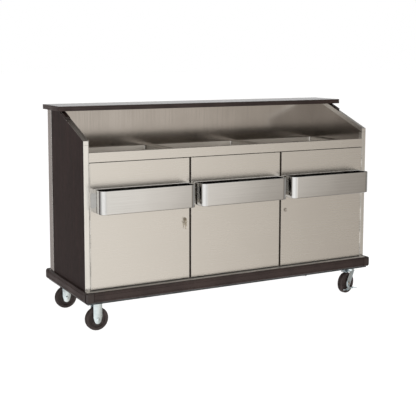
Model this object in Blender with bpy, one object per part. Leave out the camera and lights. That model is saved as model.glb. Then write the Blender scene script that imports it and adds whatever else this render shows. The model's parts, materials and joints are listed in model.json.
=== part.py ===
"""Portable bar on four casters: stainless working side, laminate case and raised bar top.

Metres, +Z up. X runs along the bar, -Y is the bartender's side and +Y the customers' side.
Pieces are placed from the middle of the case, on the floor. The frame empty that carries them
is moved along Y so that the origin is the middle of the whole footprint, speed rails included.
"""

import math

import bmesh
import bpy
from mathutils import Matrix, Vector

# Clearances
GAP = 0.0003
MERGE = 0.000001
SECTION_GAP = 0.012

# Mesh making
SMOOTH_ANGLE = math.radians(35.0)
FLAT_ANGLE = math.radians(0.05)
ROUND_STEPS = 16

# Bar top
BAR_RISE = 0.257
TOP_DEPTH = 0.276
TOP_THICKNESS = 0.0265
TOP_OVERHANG_BACK = 0.021
TOP_OVERHANG_SIDE = 0.025
EDGING_THICKNESS = 0.004
EDGING_RIDGE = 0.0015
EDGING_GROOVE = 0.004

# Case
BODY_LENGTH = 1.836
BODY_DEPTH = 0.558
PANEL_THICKNESS = 0.025
BACK_PANEL_THICKNESS = 0.018
SHEET = 0.0015
TRIM_WIDTH = 0.0286
TRIM_RETURN = 0.0275
GUARD_WIDTH = 0.060
SLOPE_ANGLE = math.radians(20.0)
SLOPE_INSET = 0.0753
SLOPE_LIP = 0.005
SLOPE_SKIRT = 0.020
SLOPE_CAP = 0.0215
BLOCK_HEIGHT = 0.011
BLOCK_WIDTH = 0.024
BLOCK_OUTREACH = 0.036

# Plinth and bumper
PLINTH_SHEET = 0.002
PLINTH_SKIRT = 0.050
BUMPER_THICKNESS = 0.014
BUMPER_OVERHANG_SIDE = 0.0155
BUMPER_OVERHANG_FRONT = 0.051
BUMPER_HEIGHT = 0.0565
BUMPER_LIP = 0.0025
BUMPER_ROUND = 0.006
BUMPER_WEB = 0.003
BUMPER_WEB_INSET = 0.008
CORNER_LEG = 0.045
CORNER_RADIUS = 0.022
CORNER_EXTRA = 0.001
CORNER_STEPS = 6
BASE_RAIL_WIDTH = 0.060
BASE_WALL = 0.003
BASE_FRAME_HEIGHT = 0.0614
CASTER_PAD_LENGTH = 0.150

# Working deck and front fascia
DECK_HEIGHT = 0.930
FASCIA_HEIGHT = 0.0505
FASCIA_RISE = 0.030
FASCIA_PROUD = 0.002
FASCIA_LEDGE = 0.0335
FASCIA_RETURN = 0.015

# Wells and ice bin
WELL_FRONT_ROOM = 0.074
WELL_BACK_ROOM = 0.0269
WELL_OUTER_ROOM = 0.0289
WELL_INNER_ROOM = 0.0272
WELL_DEPTH = 0.150
BIN_SIDE_ROOM = 0.0068
BIN_DEPTH = 0.250
PAN_FLANGE = 0.011
JACKET_THICKNESS = 0.022
DRAIN_X = 0.150
DRAIN_Y = 0.060
DRAIN_PIPE_RADIUS = 0.011
DRAIN_FLANGE_RADIUS = 0.022
DRAIN_FLANGE_THICKNESS = 0.003
VALVE_BODY_RADIUS = 0.018
VALVE_BODY_LENGTH = 0.034
VALVE_DROP = 0.030
VALVE_TAIL = 0.025
VALVE_STEM_RADIUS = 0.006
VALVE_STEM_REACH = 0.012
LEVER_LENGTH = 0.075
LEVER_WIDTH = 0.012
LEVER_THICKNESS = 0.003

# Partitions
PARTITION_THICKNESS = 0.012
PARTITION_FLANGE = 0.0275

# Doors and the fixed middle panel
DOOR_HEAD_GAP = 0.0035
DOOR_FOOT_GAP = 0.008
DOOR_DEPTH = 0.018
DOOR_PROUD = 0.0035
DOOR_HEM = 0.012

# Continuous hinges
HINGE_LEAF = 0.0008
HINGE_PIN_RADIUS = 0.0011
HINGE_KNUCKLES = 9
HINGE_ARC_STEPS = 9
HINGE_PROUD = 0.0025
HINGE_TAB_DEPTH = 0.0016
HINGE_LEAF_DEPTH = 0.028
HINGE_OPEN_ANGLE = math.radians(75.0)
HINGE_PIN_STEPS = 12

# Cam locks and key
LOCK_INSET = 0.0295
LOCK_DROP = 0.3425
LOCK_BEZEL_RADIUS = 0.012
LOCK_BEZEL_THICKNESS = 0.0025
LOCK_BARREL_RADIUS = 0.0095
LOCK_PLUG_RADIUS = 0.006
CAM_LENGTH = 0.026
CAM_WIDTH = 0.011
CAM_THICKNESS = 0.0025
CAM_CLEARANCE = 0.0015
KEY_THICKNESS = 0.002
KEY_BOW_LENGTH = 0.022
KEY_BOW_HEIGHT = 0.020
KEY_HOLE_RADIUS = 0.0025
KEY_BLADE_LENGTH = 0.020
KEY_BLADE_WIDTH = 0.008
KEY_RING_RADIUS = 0.009
KEY_RING_WIRE = 0.0008
KEY_RING_BITE = 0.0003
KEY_RING_STEPS = 20
KEY_WIRE_STEPS = 6
KEY_HOLE_STEPS = 10
KEYED_SIDE = "left"

# Speed rails
RAIL_DEPTH = 0.110
RAIL_HEIGHT = 0.125
RAIL_DROP = 0.136
RAIL_CORNER_RADIUS = 0.035
RAIL_CORNER_STEPS = 6
RAIL_HEM = 0.003
RAIL_HEM_HEIGHT = 0.008
RAIL_TAB_WIDTH = 0.016
RAIL_INNER_TAB_WIDTH = 0.0085
RAIL_TAB_HEIGHT = 0.080
RAIL_TAB_LIFT = 0.024
RAIL_TAB_CHAMFER = 0.006
RAIL_TAB_CLEARANCE = 0.0006

# Casters
CASTER_INSET_X = 0.0739
CASTER_INSET_Y = 0.0694
CASTER_LEAD = 0.038
WHEEL_RADIUS = 0.0635
WHEEL_WIDTH = 0.032
WHEEL_STEPS = 24
TREAD_CHAMFER = 0.004
TREAD_GROOVE = 0.006
TREAD_GROOVE_DEPTH = 0.002
HUB_RADIUS = 0.016
HUB_WIDTH = 0.038
WEB_RADIUS = 0.046
WEB_RECESS = 0.008
PLATE_LENGTH = 0.100
PLATE_WIDTH = 0.085
PLATE_THICKNESS = 0.004
FORK_SHEET = 0.003
FORK_LEG_WIDTH = 0.050
FORK_LEG_DROP = 0.026
FORK_TIRE_ROOM = 0.006
RACE_RADIUS = 0.028
UPPER_RACE_HEIGHT = 0.008
LOWER_RACE_HEIGHT = 0.0117
KINGPIN_RADIUS = 0.006
KINGPIN_HEAD_RADIUS = 0.010
KINGPIN_HEAD_HEIGHT = 0.004
AXLE_RADIUS = 0.005
AXLE_HEAD_RADIUS = 0.0095
AXLE_HEAD_HEIGHT = 0.006
AXLE_STEPS = 12
SWIVEL_TURNS = {"front": math.radians(15.0), "rear": math.radians(55.0)}
PEDAL_STRAP_WIDTH = 0.018
PEDAL_STRAP_RISE = 0.011
PEDAL_DROP = 0.030
PEDAL_REACH = 0.048
PEDAL_ARM_HEIGHT = 0.010
PEDAL_PAD_LENGTH = 0.020
PEDAL_PAD_REACH = 0.028

# Worked out from the sizes above
CROWN_BOTTOM = 2 * WHEEL_RADIUS + FORK_TIRE_ROOM
RACE_TOP = CROWN_BOTTOM + FORK_SHEET + LOWER_RACE_HEIGHT
CASTER_HEIGHT = RACE_TOP + GAP + UPPER_RACE_HEIGHT + PLATE_THICKNESS
BASE_FRAME_TOP = CASTER_HEIGHT + GAP + BASE_FRAME_HEIGHT
PLINTH_TOP = BASE_FRAME_TOP + GAP + PLINTH_SHEET
BUMPER_BOTTOM = PLINTH_TOP + BUMPER_LIP - BUMPER_HEIGHT
BAR_HEIGHT = DECK_HEIGHT + BAR_RISE
TOP_LENGTH = BODY_LENGTH + 2 * TOP_OVERHANG_SIDE
TOP_UNDERSIDE = BAR_HEIGHT - TOP_THICKNESS
CASE_TOP = TOP_UNDERSIDE - GAP
CASE_BOTTOM = PLINTH_TOP + GAP
BODY_X = BODY_LENGTH / 2
BODY_Y = BODY_DEPTH / 2
TOP_FRONT_Y = BODY_Y + TOP_OVERHANG_BACK - TOP_DEPTH
SLOPE_RUN = BODY_Y + TOP_FRONT_Y + SLOPE_INSET
SLOPE_FOOT_HEIGHT = CASE_TOP - SLOPE_RUN * math.tan(SLOPE_ANGLE)
PANEL_INNER_X = BODY_X - PANEL_THICKNESS
LINER_OUTER_X = PANEL_INNER_X - GAP
LINER_INNER_X = LINER_OUTER_X - SHEET
TRIM_INNER_X = BODY_X - TRIM_WIDTH
BACK_PANEL_FRONT_Y = BODY_Y - BACK_PANEL_THICKNESS
BACK_LINER_BACK_Y = BACK_PANEL_FRONT_Y - GAP
BACK_LINER_FRONT_Y = BACK_LINER_BACK_Y - SHEET
BAY_X = LINER_INNER_X - GAP
BAY_BACK_Y = BACK_LINER_FRONT_Y - GAP
PANEL_FRONT_Y = -BODY_Y + SHEET + GAP
BUMPER_X = BODY_X + BUMPER_OVERHANG_SIDE
BUMPER_Y = BODY_Y + BUMPER_OVERHANG_FRONT
PLINTH_X = BUMPER_X - BUMPER_THICKNESS - GAP
PLINTH_Y = BUMPER_Y - BUMPER_THICKNESS - GAP
BASE_X = PLINTH_X - PLINTH_SHEET - GAP
BASE_Y = PLINTH_Y - PLINTH_SHEET - GAP
CASTER_X = BASE_X - CASTER_INSET_X
CASTER_Y = BASE_Y - CASTER_INSET_Y
FASCIA_TOP = DECK_HEIGHT + FASCIA_RISE
FASCIA_BOTTOM = FASCIA_TOP - FASCIA_HEIGHT
DOOR_TOP = FASCIA_BOTTOM - DOOR_HEAD_GAP
DOOR_BOTTOM = PLINTH_TOP + DOOR_FOOT_GAP
DOOR_FRONT_Y = -BODY_Y - DOOR_PROUD
DOOR_BACK_Y = DOOR_FRONT_Y + DOOR_DEPTH
FLANGE_FRONT_Y = DOOR_BACK_Y + GAP
HINGE_RADIUS = HINGE_PIN_RADIUS + GAP + HINGE_LEAF
HINGE_X = TRIM_INNER_X - GAP - HINGE_RADIUS
HINGE_Y = DOOR_FRONT_Y - HINGE_PROUD
DOOR_OUTER_X = HINGE_X - HINGE_RADIUS - GAP
FRONT_SECTION = (2 * DOOR_OUTER_X - 2 * SECTION_GAP) / 3
MIDDLE_X = FRONT_SECTION / 2
DOOR_INNER_X = MIDDLE_X + SECTION_GAP
LOCK_X = DOOR_INNER_X + LOCK_INSET
LOCK_HEIGHT = DOOR_TOP - LOCK_DROP
PARTITION_MID_X = MIDDLE_X + SECTION_GAP / 2
PARTITION_OUTER_X = PARTITION_MID_X + PARTITION_THICKNESS / 2
PARTITION_INNER_X = PARTITION_MID_X - PARTITION_THICKNESS / 2
BIN_HALF_LENGTH = PARTITION_INNER_X - JACKET_THICKNESS - BIN_SIDE_ROOM
WELL_INNER_X = PARTITION_OUTER_X + WELL_INNER_ROOM
WELL_OUTER_X = BAY_X - WELL_OUTER_ROOM
WELL_FRONT_Y = -BODY_Y + WELL_FRONT_ROOM
WELL_BACK_Y = BAY_BACK_Y - WELL_BACK_ROOM
RAIL_TABS = RAIL_TAB_WIDTH + RAIL_INNER_TAB_WIDTH + 2 * RAIL_TAB_CLEARANCE
RAIL_LENGTH = FRONT_SECTION - RAIL_TABS
RAIL_BOTTOM = DOOR_TOP - RAIL_DROP - RAIL_HEIGHT
RAIL_BACK_Y = DOOR_FRONT_Y - GAP
RAIL_FRONT_Y = RAIL_BACK_Y - RAIL_DEPTH
TRIM_BACK_Y = -BODY_Y + SHEET + TRIM_RETURN
SIDE_RAIL_OUTER_X = DOOR_OUTER_X - RAIL_TAB_WIDTH - RAIL_TAB_CLEARANCE
PAN_TOP = DECK_HEIGHT + GAP + SHEET
FRAME_Y = -(RAIL_FRONT_Y + BUMPER_Y + CORNER_EXTRA) / 2
SIDES = {"left": -1, "right": 1}
ENDS = {"front": -1, "rear": 1}

# Finishes: sRGB colour, roughness, metallic
FINISHES = {
    "brushed_stainless": ("C9C5BE", 0.32, 1.0),
    "dark_laminate": ("3A2F2E", 0.45, 0.0),
    "top_laminate": ("2B2424", 0.30, 0.0),
    "black_vinyl": ("332C2B", 0.55, 0.0),
    "black_plastic": ("141212", 0.50, 0.0),
    "black_rubber": ("2A2524", 0.70, 0.0),
    "zinc_plate": ("C5D0D6", 0.30, 1.0),
    "galvanised_steel": ("9DA3A6", 0.50, 1.0),
    "insulating_foam": ("DAD6C8", 0.80, 0.0),
    "brass": ("B59B5A", 0.30, 1.0),
}


def to_linear(channel):
    """Linear value of one sRGB channel between 0 and 1."""
    if channel <= 0.04045:
        return channel / 12.92
    return ((channel + 0.055) / 1.055) ** 2.4


def material(name):
    """Principled material of a named finish, made once."""
    if name in bpy.data.materials:
        return bpy.data.materials[name]
    colour, roughness, metallic = FINISHES[name]
    channels = [to_linear(int(colour[i:i + 2], 16) / 255) for i in (0, 2, 4)]
    made = bpy.data.materials.new(name)
    made.use_nodes = True
    shader = made.node_tree.nodes["Principled BSDF"]
    shader.inputs["Base Color"].default_value = (*channels, 1.0)
    shader.inputs["Roughness"].default_value = roughness
    shader.inputs["Metallic"].default_value = metallic
    return made


def span(side, inner, outer):
    """Lowest and highest X of a stretch from inner to outer on one side of the bar."""
    return tuple(sorted((side * inner, side * outer)))


def block(x, y, z):
    """Box between the two ends given for each axis."""
    size = Matrix.Diagonal((x[1] - x[0], y[1] - y[0], z[1] - z[0], 1.0))
    centre = Matrix.Translation((sum(x) / 2, sum(y) / 2, sum(z) / 2))
    bm = bmesh.new()
    bmesh.ops.create_cube(bm, size=1.0, matrix=centre @ size)
    return bm


CELL_FACES = (
    ((1, 0, 0), ((1, 0, 0), (1, 1, 0), (1, 1, 1), (1, 0, 1))),
    ((-1, 0, 0), ((0, 0, 0), (0, 0, 1), (0, 1, 1), (0, 1, 0))),
    ((0, 1, 0), ((0, 1, 0), (0, 1, 1), (1, 1, 1), (1, 1, 0))),
    ((0, -1, 0), ((0, 0, 0), (1, 0, 0), (1, 0, 1), (0, 0, 1))),
    ((0, 0, 1), ((0, 0, 1), (1, 0, 1), (1, 1, 1), (0, 1, 1))),
    ((0, 0, -1), ((0, 0, 0), (0, 1, 0), (1, 1, 0), (1, 0, 0))),
)


def cells(xs, ys, zs, filled):
    """Closed solid of the filled cells of a grid, as folded sheet and welded tube are made."""
    bm = bmesh.new()
    corners = {}
    counts = (len(xs) - 1, len(ys) - 1, len(zs) - 1)

    def corner(i, j, k):
        if (i, j, k) not in corners:
            corners[i, j, k] = bm.verts.new((xs[i], ys[j], zs[k]))
        return corners[i, j, k]

    def solid(i, j, k):
        inside = all(0 <= n < count for n, count in zip((i, j, k), counts))
        return inside and filled(i, j, k)

    for i in range(counts[0]):
        for j in range(counts[1]):
            for k in range(counts[2]):
                if not solid(i, j, k):
                    continue
                for step, quad in CELL_FACES:
                    if not solid(i + step[0], j + step[1], k + step[2]):
                        bm.faces.new([corner(i + a, j + b, k + c) for a, b, c in quad])
    bmesh.ops.dissolve_limit(bm, angle_limit=FLAT_ANGLE, verts=bm.verts, edges=bm.edges)
    return bm


def prism(outline, axis, ends):
    """Outline of (first, second) points pushed along an axis, X, Y or Z, between two ends."""
    order = {
        "X": lambda a, b, c: (c, a, b),
        "Y": lambda a, b, c: (a, c, b),
        "Z": lambda a, b, c: (a, b, c),
    }[axis]
    bm = bmesh.new()
    face = bm.faces.new([bm.verts.new(order(a, b, ends[0])) for a, b in outline])
    pushed = bmesh.ops.extrude_face_region(bm, geom=[face])
    moved = [item for item in pushed["geom"] if isinstance(item, bmesh.types.BMVert)]
    bmesh.ops.translate(bm, verts=moved, vec=Vector(order(0.0, 0.0, ends[1] - ends[0])))
    bmesh.ops.recalc_face_normals(bm, faces=bm.faces)
    return bm


def turned(profile, axis, centre=(0.0, 0.0, 0.0), steps=ROUND_STEPS, flat_down=False):
    """Closed profile of (radius, height) points turned round an axis, X, Y or Z, at a centre.

    With flat_down a flat of the many-sided shape, not a corner, lies lowest, at the radius.
    """
    stretch = 1.0 / math.cos(math.pi / steps) if flat_down else 1.0
    bm = bmesh.new()
    verts = [bm.verts.new((radius * stretch, 0.0, height)) for radius, height in profile]
    edges = [bm.edges.new((a, b)) for a, b in zip(verts, verts[1:] + verts[:1])]
    start = math.pi / steps if flat_down else 0.0
    bmesh.ops.rotate(bm, verts=verts, matrix=Matrix.Rotation(start, 3, "Z"))
    bmesh.ops.spin(
        bm, geom=verts + edges, cent=(0, 0, 0), axis=(0, 0, 1), angle=2 * math.pi,
        steps=steps, use_merge=True,
    )
    bmesh.ops.remove_doubles(bm, verts=bm.verts, dist=MERGE)
    loose = [edge for edge in bm.edges if not edge.link_faces]
    bmesh.ops.delete(bm, geom=loose, context="EDGES")
    turn = {
        "X": Matrix.Rotation(math.pi / 2, 4, "Y"),
        "Y": Matrix.Rotation(-math.pi / 2, 4, "X"),
        "Z": Matrix.Identity(4),
    }[axis]
    bmesh.ops.transform(bm, matrix=Matrix.Translation(centre) @ turn, verts=bm.verts)
    bmesh.ops.recalc_face_normals(bm, faces=bm.faces)
    return bm


def rod(radius, ends, axis, centre=(0.0, 0.0, 0.0), steps=ROUND_STEPS):
    """Round bar between two ends along an axis through a centre."""
    profile = [(0.0, ends[0]), (radius, ends[0]), (radius, ends[1]), (0.0, ends[1])]
    return turned(profile, axis, centre, steps)


def scene_object(name, bm):
    """Object that holds a mesh, in the scene."""
    mesh = bpy.data.meshes.new(name)
    bm.to_mesh(mesh)
    bm.free()
    made = bpy.data.objects.new(name, mesh)
    bpy.context.scene.collection.objects.link(made)
    return made


def combined(base, others, operation):
    """Mesh of a solid with each of the others joined to it (UNION) or cut from it (DIFFERENCE)."""
    host = scene_object("host", base)
    helpers = [scene_object("helper", other) for other in others]
    for helper in helpers:
        modifier = host.modifiers.new("combine", "BOOLEAN")
        modifier.operation = operation
        modifier.solver = "EXACT"
        modifier.object = helper
    result = bmesh.new()
    result.from_object(host, bpy.context.evaluated_depsgraph_get())
    for spent in (host, *helpers):
        mesh = spent.data
        bpy.data.objects.remove(spent)
        bpy.data.meshes.remove(mesh)
    return result


def empty(name, location, parent=None, turn=0.0):
    """Empty that carries other pieces, turned about Z."""
    made = bpy.data.objects.new(name, None)
    made.location = location
    made.rotation_euler = (0.0, 0.0, turn)
    made.parent = parent
    bpy.context.scene.collection.objects.link(made)
    return made


def piece(name, bm, finish, parent, pivot=(0.0, 0.0, 0.0), smooth=False):
    """Named piece in its finish, with its origin on the pivot that its mesh was measured from."""
    bmesh.ops.translate(bm, verts=bm.verts, vec=-Vector(pivot))
    made = scene_object(name, bm)
    made.data.materials.append(material(finish))
    if smooth:
        made.data.shade_smooth()
        made.data.set_sharp_from_angle(angle=SMOOTH_ANGLE)
    made.parent = parent
    made.location = pivot
    return made


# Plinth


def base_frame(frame):
    """Welded frame of folded channel, with a plate across each end for the casters."""
    pad = BASE_X - CASTER_PAD_LENGTH
    cross = PARTITION_MID_X + BASE_RAIL_WIDTH / 2
    xs = [BASE_X, BASE_X - BASE_WALL, BASE_X - BASE_RAIL_WIDTH, pad + BASE_WALL, pad]
    xs += [cross, cross - BASE_RAIL_WIDTH + BASE_WALL, cross - BASE_RAIL_WIDTH]
    xs = [-x for x in xs] + list(reversed(xs))
    ys = [-BASE_Y, -BASE_Y + BASE_WALL, -BASE_Y + BASE_RAIL_WIDTH]
    ys += [-y for y in reversed(ys)]
    bottom, top = CASTER_HEIGHT + GAP, BASE_FRAME_TOP
    zs = [bottom, bottom + BASE_WALL, top - BASE_WALL, top]

    def channel(i, j, k):
        x = abs(xs[i] + xs[i + 1]) / 2
        y = abs(ys[j] + ys[j + 1]) / 2
        side_rail = y > BASE_Y - BASE_RAIL_WIDTH
        cross_rail = cross - BASE_RAIL_WIDTH < x < cross
        if k == 0:
            return side_rail or cross_rail or x > pad
        if k == 2:
            return side_rail or cross_rail or x > BASE_X - BASE_RAIL_WIDTH
        outer_web = y > BASE_Y - BASE_WALL or x > BASE_X - BASE_WALL
        cross_web = x < cross - BASE_RAIL_WIDTH + BASE_WALL and cross_rail
        return outer_web or cross_web or pad < x < pad + BASE_WALL

    piece("base_frame", cells(xs, ys, zs, channel), "galvanised_steel", frame)


def base_pan(frame):
    """Folded stainless sheet over the base frame, with a skirt all round."""
    xs = [-PLINTH_X, -PLINTH_X + PLINTH_SHEET, PLINTH_X - PLINTH_SHEET, PLINTH_X]
    ys = [-PLINTH_Y, -PLINTH_Y + PLINTH_SHEET, PLINTH_Y - PLINTH_SHEET, PLINTH_Y]
    zs = [PLINTH_TOP - PLINTH_SKIRT, PLINTH_TOP - PLINTH_SHEET, PLINTH_TOP]
    bm = cells(xs, ys, zs, lambda i, j, k: k == 1 or (i, j) != (1, 1))
    piece("base_pan", bm, "brushed_stainless", frame)


def bumper_profile(thickness, height):
    """Outline of the bumper from its flat back: (reach, height above its bottom)."""
    nose = BUMPER_ROUND
    midway = nose * (1.0 - math.cos(math.pi / 4))
    return [
        (0.0, 0.0),
        (thickness - nose, 0.0),
        (thickness - midway, midway),
        (thickness, nose),
        (thickness, height - nose),
        (thickness - midway, height - midway),
        (thickness - nose, height),
        (0.0, height),
    ]


def bumper_strip(along_x, side):
    """Straight run of the bumper on one face of the plinth skirt."""
    profile = bumper_profile(BUMPER_THICKNESS, BUMPER_HEIGHT)
    wall = PLINTH_Y if along_x else PLINTH_X
    end = (PLINTH_X if along_x else PLINTH_Y) + BUMPER_THICKNESS - CORNER_LEG - GAP
    outline = [(side * (wall + GAP + reach), BUMPER_BOTTOM + up) for reach, up in profile]
    return prism(outline, "X" if along_x else "Y", (-end, end))


def bumper_corner(side_x, side_y):
    """Moulded corner piece: the bumper's profile led round a rounded corner, over the web."""
    thickness = BUMPER_THICKNESS + CORNER_EXTRA - BUMPER_WEB - GAP
    inner_x = PLINTH_X + 2 * GAP + BUMPER_WEB
    inner_y = PLINTH_Y + 2 * GAP + BUMPER_WEB
    leg = CORNER_LEG - BUMPER_THICKNESS + BUMPER_WEB
    stations = [((-leg, 0.0), (0.0, 1.0), thickness), ((0.0, 0.0), (0.0, 1.0), thickness)]
    centre = thickness - CORNER_RADIUS
    for step in range(1, CORNER_STEPS):
        angle = math.pi / 2 * (1 - step / CORNER_STEPS)
        x = centre + CORNER_RADIUS * math.cos(angle)
        y = centre + CORNER_RADIUS * math.sin(angle)
        reach = math.hypot(x, y)
        stations.append(((0.0, 0.0), (x / reach, y / reach), reach))
    stations += [((0.0, 0.0), (1.0, 0.0), thickness), ((0.0, -leg), (1.0, 0.0), thickness)]
    profile = bumper_profile(thickness, BUMPER_HEIGHT + 2 * CORNER_EXTRA)
    bm = bmesh.new()
    rings = []
    for base, way, reach in stations:
        ring = []
        for out, up in profile:
            share = out / thickness * reach
            x = side_x * (inner_x + base[0] + way[0] * share)
            y = side_y * (inner_y + base[1] + way[1] * share)
            ring.append(bm.verts.new((x, y, BUMPER_BOTTOM - CORNER_EXTRA + up)))
        rings.append(ring)
    for ring, after in zip(rings, rings[1:]):
        for n in range(len(profile)):
            m = (n + 1) % len(profile)
            bm.faces.new((ring[n], ring[m], after[m], after[n]))
    bm.faces.new(rings[0])
    bm.faces.new(rings[-1])
    bmesh.ops.remove_doubles(bm, verts=bm.verts, dist=MERGE)
    bmesh.ops.recalc_face_normals(bm, faces=bm.faces)
    return bm


def bumpers(frame):
    """Vinyl bumper whose web runs right round the plinth, and its four corner pieces."""
    xs = [-PLINTH_X - GAP - BUMPER_WEB, -PLINTH_X - GAP, PLINTH_X + GAP, PLINTH_X + GAP + BUMPER_WEB]
    ys = [-PLINTH_Y - GAP - BUMPER_WEB, -PLINTH_Y - GAP, PLINTH_Y + GAP, PLINTH_Y + GAP + BUMPER_WEB]
    zs = [BUMPER_BOTTOM + BUMPER_WEB_INSET, BUMPER_BOTTOM + BUMPER_HEIGHT - BUMPER_WEB_INSET]
    web = cells(xs, ys, zs, lambda i, j, k: (i, j) != (1, 1))
    runs = [bumper_strip(along_x, side) for along_x in (True, False) for side in (-1, 1)]
    piece("bumper", combined(web, runs, "UNION"), "black_vinyl", frame, smooth=True)
    for side_name, side in SIDES.items():
        for end_name, end in ENDS.items():
            name = f"bumper_corner_{end_name}_{side_name}"
            piece(name, bumper_corner(side, end), "black_plastic", frame, smooth=True)


# Case


def slope_z(y, above=0.0):
    """Height over Y of the sloping edge's outer face, or of a line that far above it, square on."""
    return SLOPE_FOOT_HEIGHT + (y + BODY_Y) * math.tan(SLOPE_ANGLE) + above / math.cos(SLOPE_ANGLE)


def slope_y(z, above=0.0):
    """Y at which the sloping edge's outer face, or a line above it, reaches a height."""
    rise = z - SLOPE_FOOT_HEIGHT - above / math.cos(SLOPE_ANGLE)
    return rise / math.tan(SLOPE_ANGLE) - BODY_Y


def side_outline(back_y):
    """Side view of the case, under the sheet that caps its sloping edge."""
    under = -(SHEET + GAP)
    return [
        (PANEL_FRONT_Y, CASE_BOTTOM),
        (back_y, CASE_BOTTOM),
        (back_y, CASE_TOP),
        (slope_y(CASE_TOP, under), CASE_TOP),
        (PANEL_FRONT_Y, slope_z(PANEL_FRONT_Y, under)),
    ]


def side_panels(frame):
    """Laminated side panels."""
    for name, side in SIDES.items():
        core = prism(side_outline(BODY_Y), "X", span(side, PANEL_INNER_X, BODY_X))
        piece(f"side_panel_{name}", core, "dark_laminate", frame)


def case_liner(frame):
    """Stainless liner folded round the inside of both sides and the back."""
    wings = [
        prism(side_outline(BACK_LINER_BACK_Y), "X", span(side, LINER_INNER_X, LINER_OUTER_X))
        for side in SIDES.values()
    ]
    reach = LINER_INNER_X + SHEET / 2
    back = block((-reach, reach), (BACK_LINER_FRONT_Y, BACK_LINER_BACK_Y), (CASE_BOTTOM, CASE_TOP))
    piece("case_liner", combined(back, wings, "UNION"), "brushed_stainless", frame)


def front_trims(frame):
    """Stainless angle over each side panel's front edge."""
    front = -BODY_Y
    ys = [front, front + SHEET, front + SHEET + TRIM_RETURN]
    zs = [CASE_BOTTOM, SLOPE_FOOT_HEIGHT - SLOPE_CAP - GAP]
    for name, side in SIDES.items():
        inner = span(side, TRIM_INNER_X, TRIM_INNER_X + SHEET)
        outer = side * BODY_X
        xs = sorted((*inner, outer))
        back = 0 if side > 0 else 1
        bm = cells(xs, ys, zs, lambda i, j, k, back=back: j == 0 or i == back)
        piece(f"front_trim_{name}", bm, "brushed_stainless", frame)


def slope_trims(frame):
    """Stainless cap on each sloping edge: floor, lip over the front and a proud inner flange."""
    front = -BODY_Y
    foot = SLOPE_FOOT_HEIGHT - SLOPE_CAP
    floor = [
        (front, foot),
        (front, slope_z(front)),
        (slope_y(CASE_TOP), CASE_TOP),
        (slope_y(CASE_TOP, -SHEET), CASE_TOP),
        (front + SHEET, slope_z(front + SHEET, -SHEET)),
        (front + SHEET, foot),
    ]
    flange = [
        (front, slope_z(front, SLOPE_LIP)),
        (slope_y(CASE_TOP, SLOPE_LIP), CASE_TOP),
        (slope_y(CASE_TOP, -SLOPE_SKIRT), CASE_TOP),
        (front, slope_z(front, -SLOPE_SKIRT)),
    ]
    for name, side in SIDES.items():
        base = prism(floor, "X", span(side, TRIM_INNER_X, BODY_X))
        wall = prism(flange, "X", span(side, TRIM_INNER_X, TRIM_INNER_X + SHEET))
        bm = combined(base, [wall], "UNION")
        piece(f"slope_trim_{name}", bm, "brushed_stainless", frame)


def slope_blocks(frame):
    """Black filler block on each sloping edge, running out from under the bar top."""
    foot_y = TOP_FRONT_Y - BLOCK_OUTREACH
    lean = BLOCK_HEIGHT * math.sin(SLOPE_ANGLE)
    outline = [
        (foot_y, slope_z(foot_y, GAP)),
        (foot_y - lean, slope_z(foot_y - lean, BLOCK_HEIGHT)),
        (slope_y(CASE_TOP, BLOCK_HEIGHT), CASE_TOP),
        (slope_y(CASE_TOP, GAP), CASE_TOP),
    ]
    inner = TRIM_INNER_X + SHEET + GAP
    for name, side in SIDES.items():
        solid = prism(outline, "X", span(side, inner, inner + BLOCK_WIDTH))
        piece(f"slope_block_{name}", solid, "black_plastic", frame)


def corner_guards(frame):
    """Stainless angle round each of the two upright corners on the customers' side."""
    outer_x = BODY_X + GAP
    outer_y = BODY_Y + GAP
    ys = [BODY_Y - GUARD_WIDTH, outer_y, outer_y + SHEET]
    zs = [BUMPER_BOTTOM + BUMPER_HEIGHT + CORNER_EXTRA + GAP, CASE_TOP]
    for name, side in SIDES.items():
        xs = sorted((side * (BODY_X - GUARD_WIDTH), side * outer_x, side * (outer_x + SHEET)))
        edge = 1 if side > 0 else 0
        guard = cells(xs, ys, zs, lambda i, j, k, edge=edge: j == 1 or i == edge)
        piece(f"corner_guard_{name}", guard, "brushed_stainless", frame)


def back_wall(frame):
    """Laminated panel on the customers' side."""
    wall = block((-LINER_OUTER_X, LINER_OUTER_X), (BACK_PANEL_FRONT_Y, BODY_Y), (CASE_BOTTOM, CASE_TOP))
    piece("back_panel", wall, "dark_laminate", frame)


def bar_top(frame):
    """Laminated bar top and the ridged edging round its four sides."""
    back = TOP_FRONT_Y + TOP_DEPTH
    outer_x = TOP_LENGTH / 2
    inner_x = outer_x - EDGING_THICKNESS
    inner_y = (TOP_FRONT_Y + EDGING_THICKNESS, back - EDGING_THICKNESS)
    core_x = (-inner_x + GAP, inner_x - GAP)
    core = block(core_x, (inner_y[0] + GAP, inner_y[1] - GAP), (TOP_UNDERSIDE, BAR_HEIGHT))
    piece("bar_top", core, "top_laminate", frame)
    middle = (TOP_UNDERSIDE + BAR_HEIGHT) / 2
    zs = [TOP_UNDERSIDE, middle - EDGING_GROOVE / 2, middle + EDGING_GROOVE / 2, BAR_HEIGHT]
    xs = [-outer_x, -outer_x + EDGING_RIDGE, -inner_x, inner_x, outer_x - EDGING_RIDGE, outer_x]
    ys = [TOP_FRONT_Y, TOP_FRONT_Y + EDGING_RIDGE, *inner_y, back - EDGING_RIDGE, back]

    def edging(i, j, k):
        hollow = i == 2 and j == 2
        outermost = i in (0, 4) or j in (0, 4)
        return not hollow and not (outermost and k == 1)

    piece("bar_top_edging", cells(xs, ys, zs, edging), "black_vinyl", frame)


# Working deck


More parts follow.
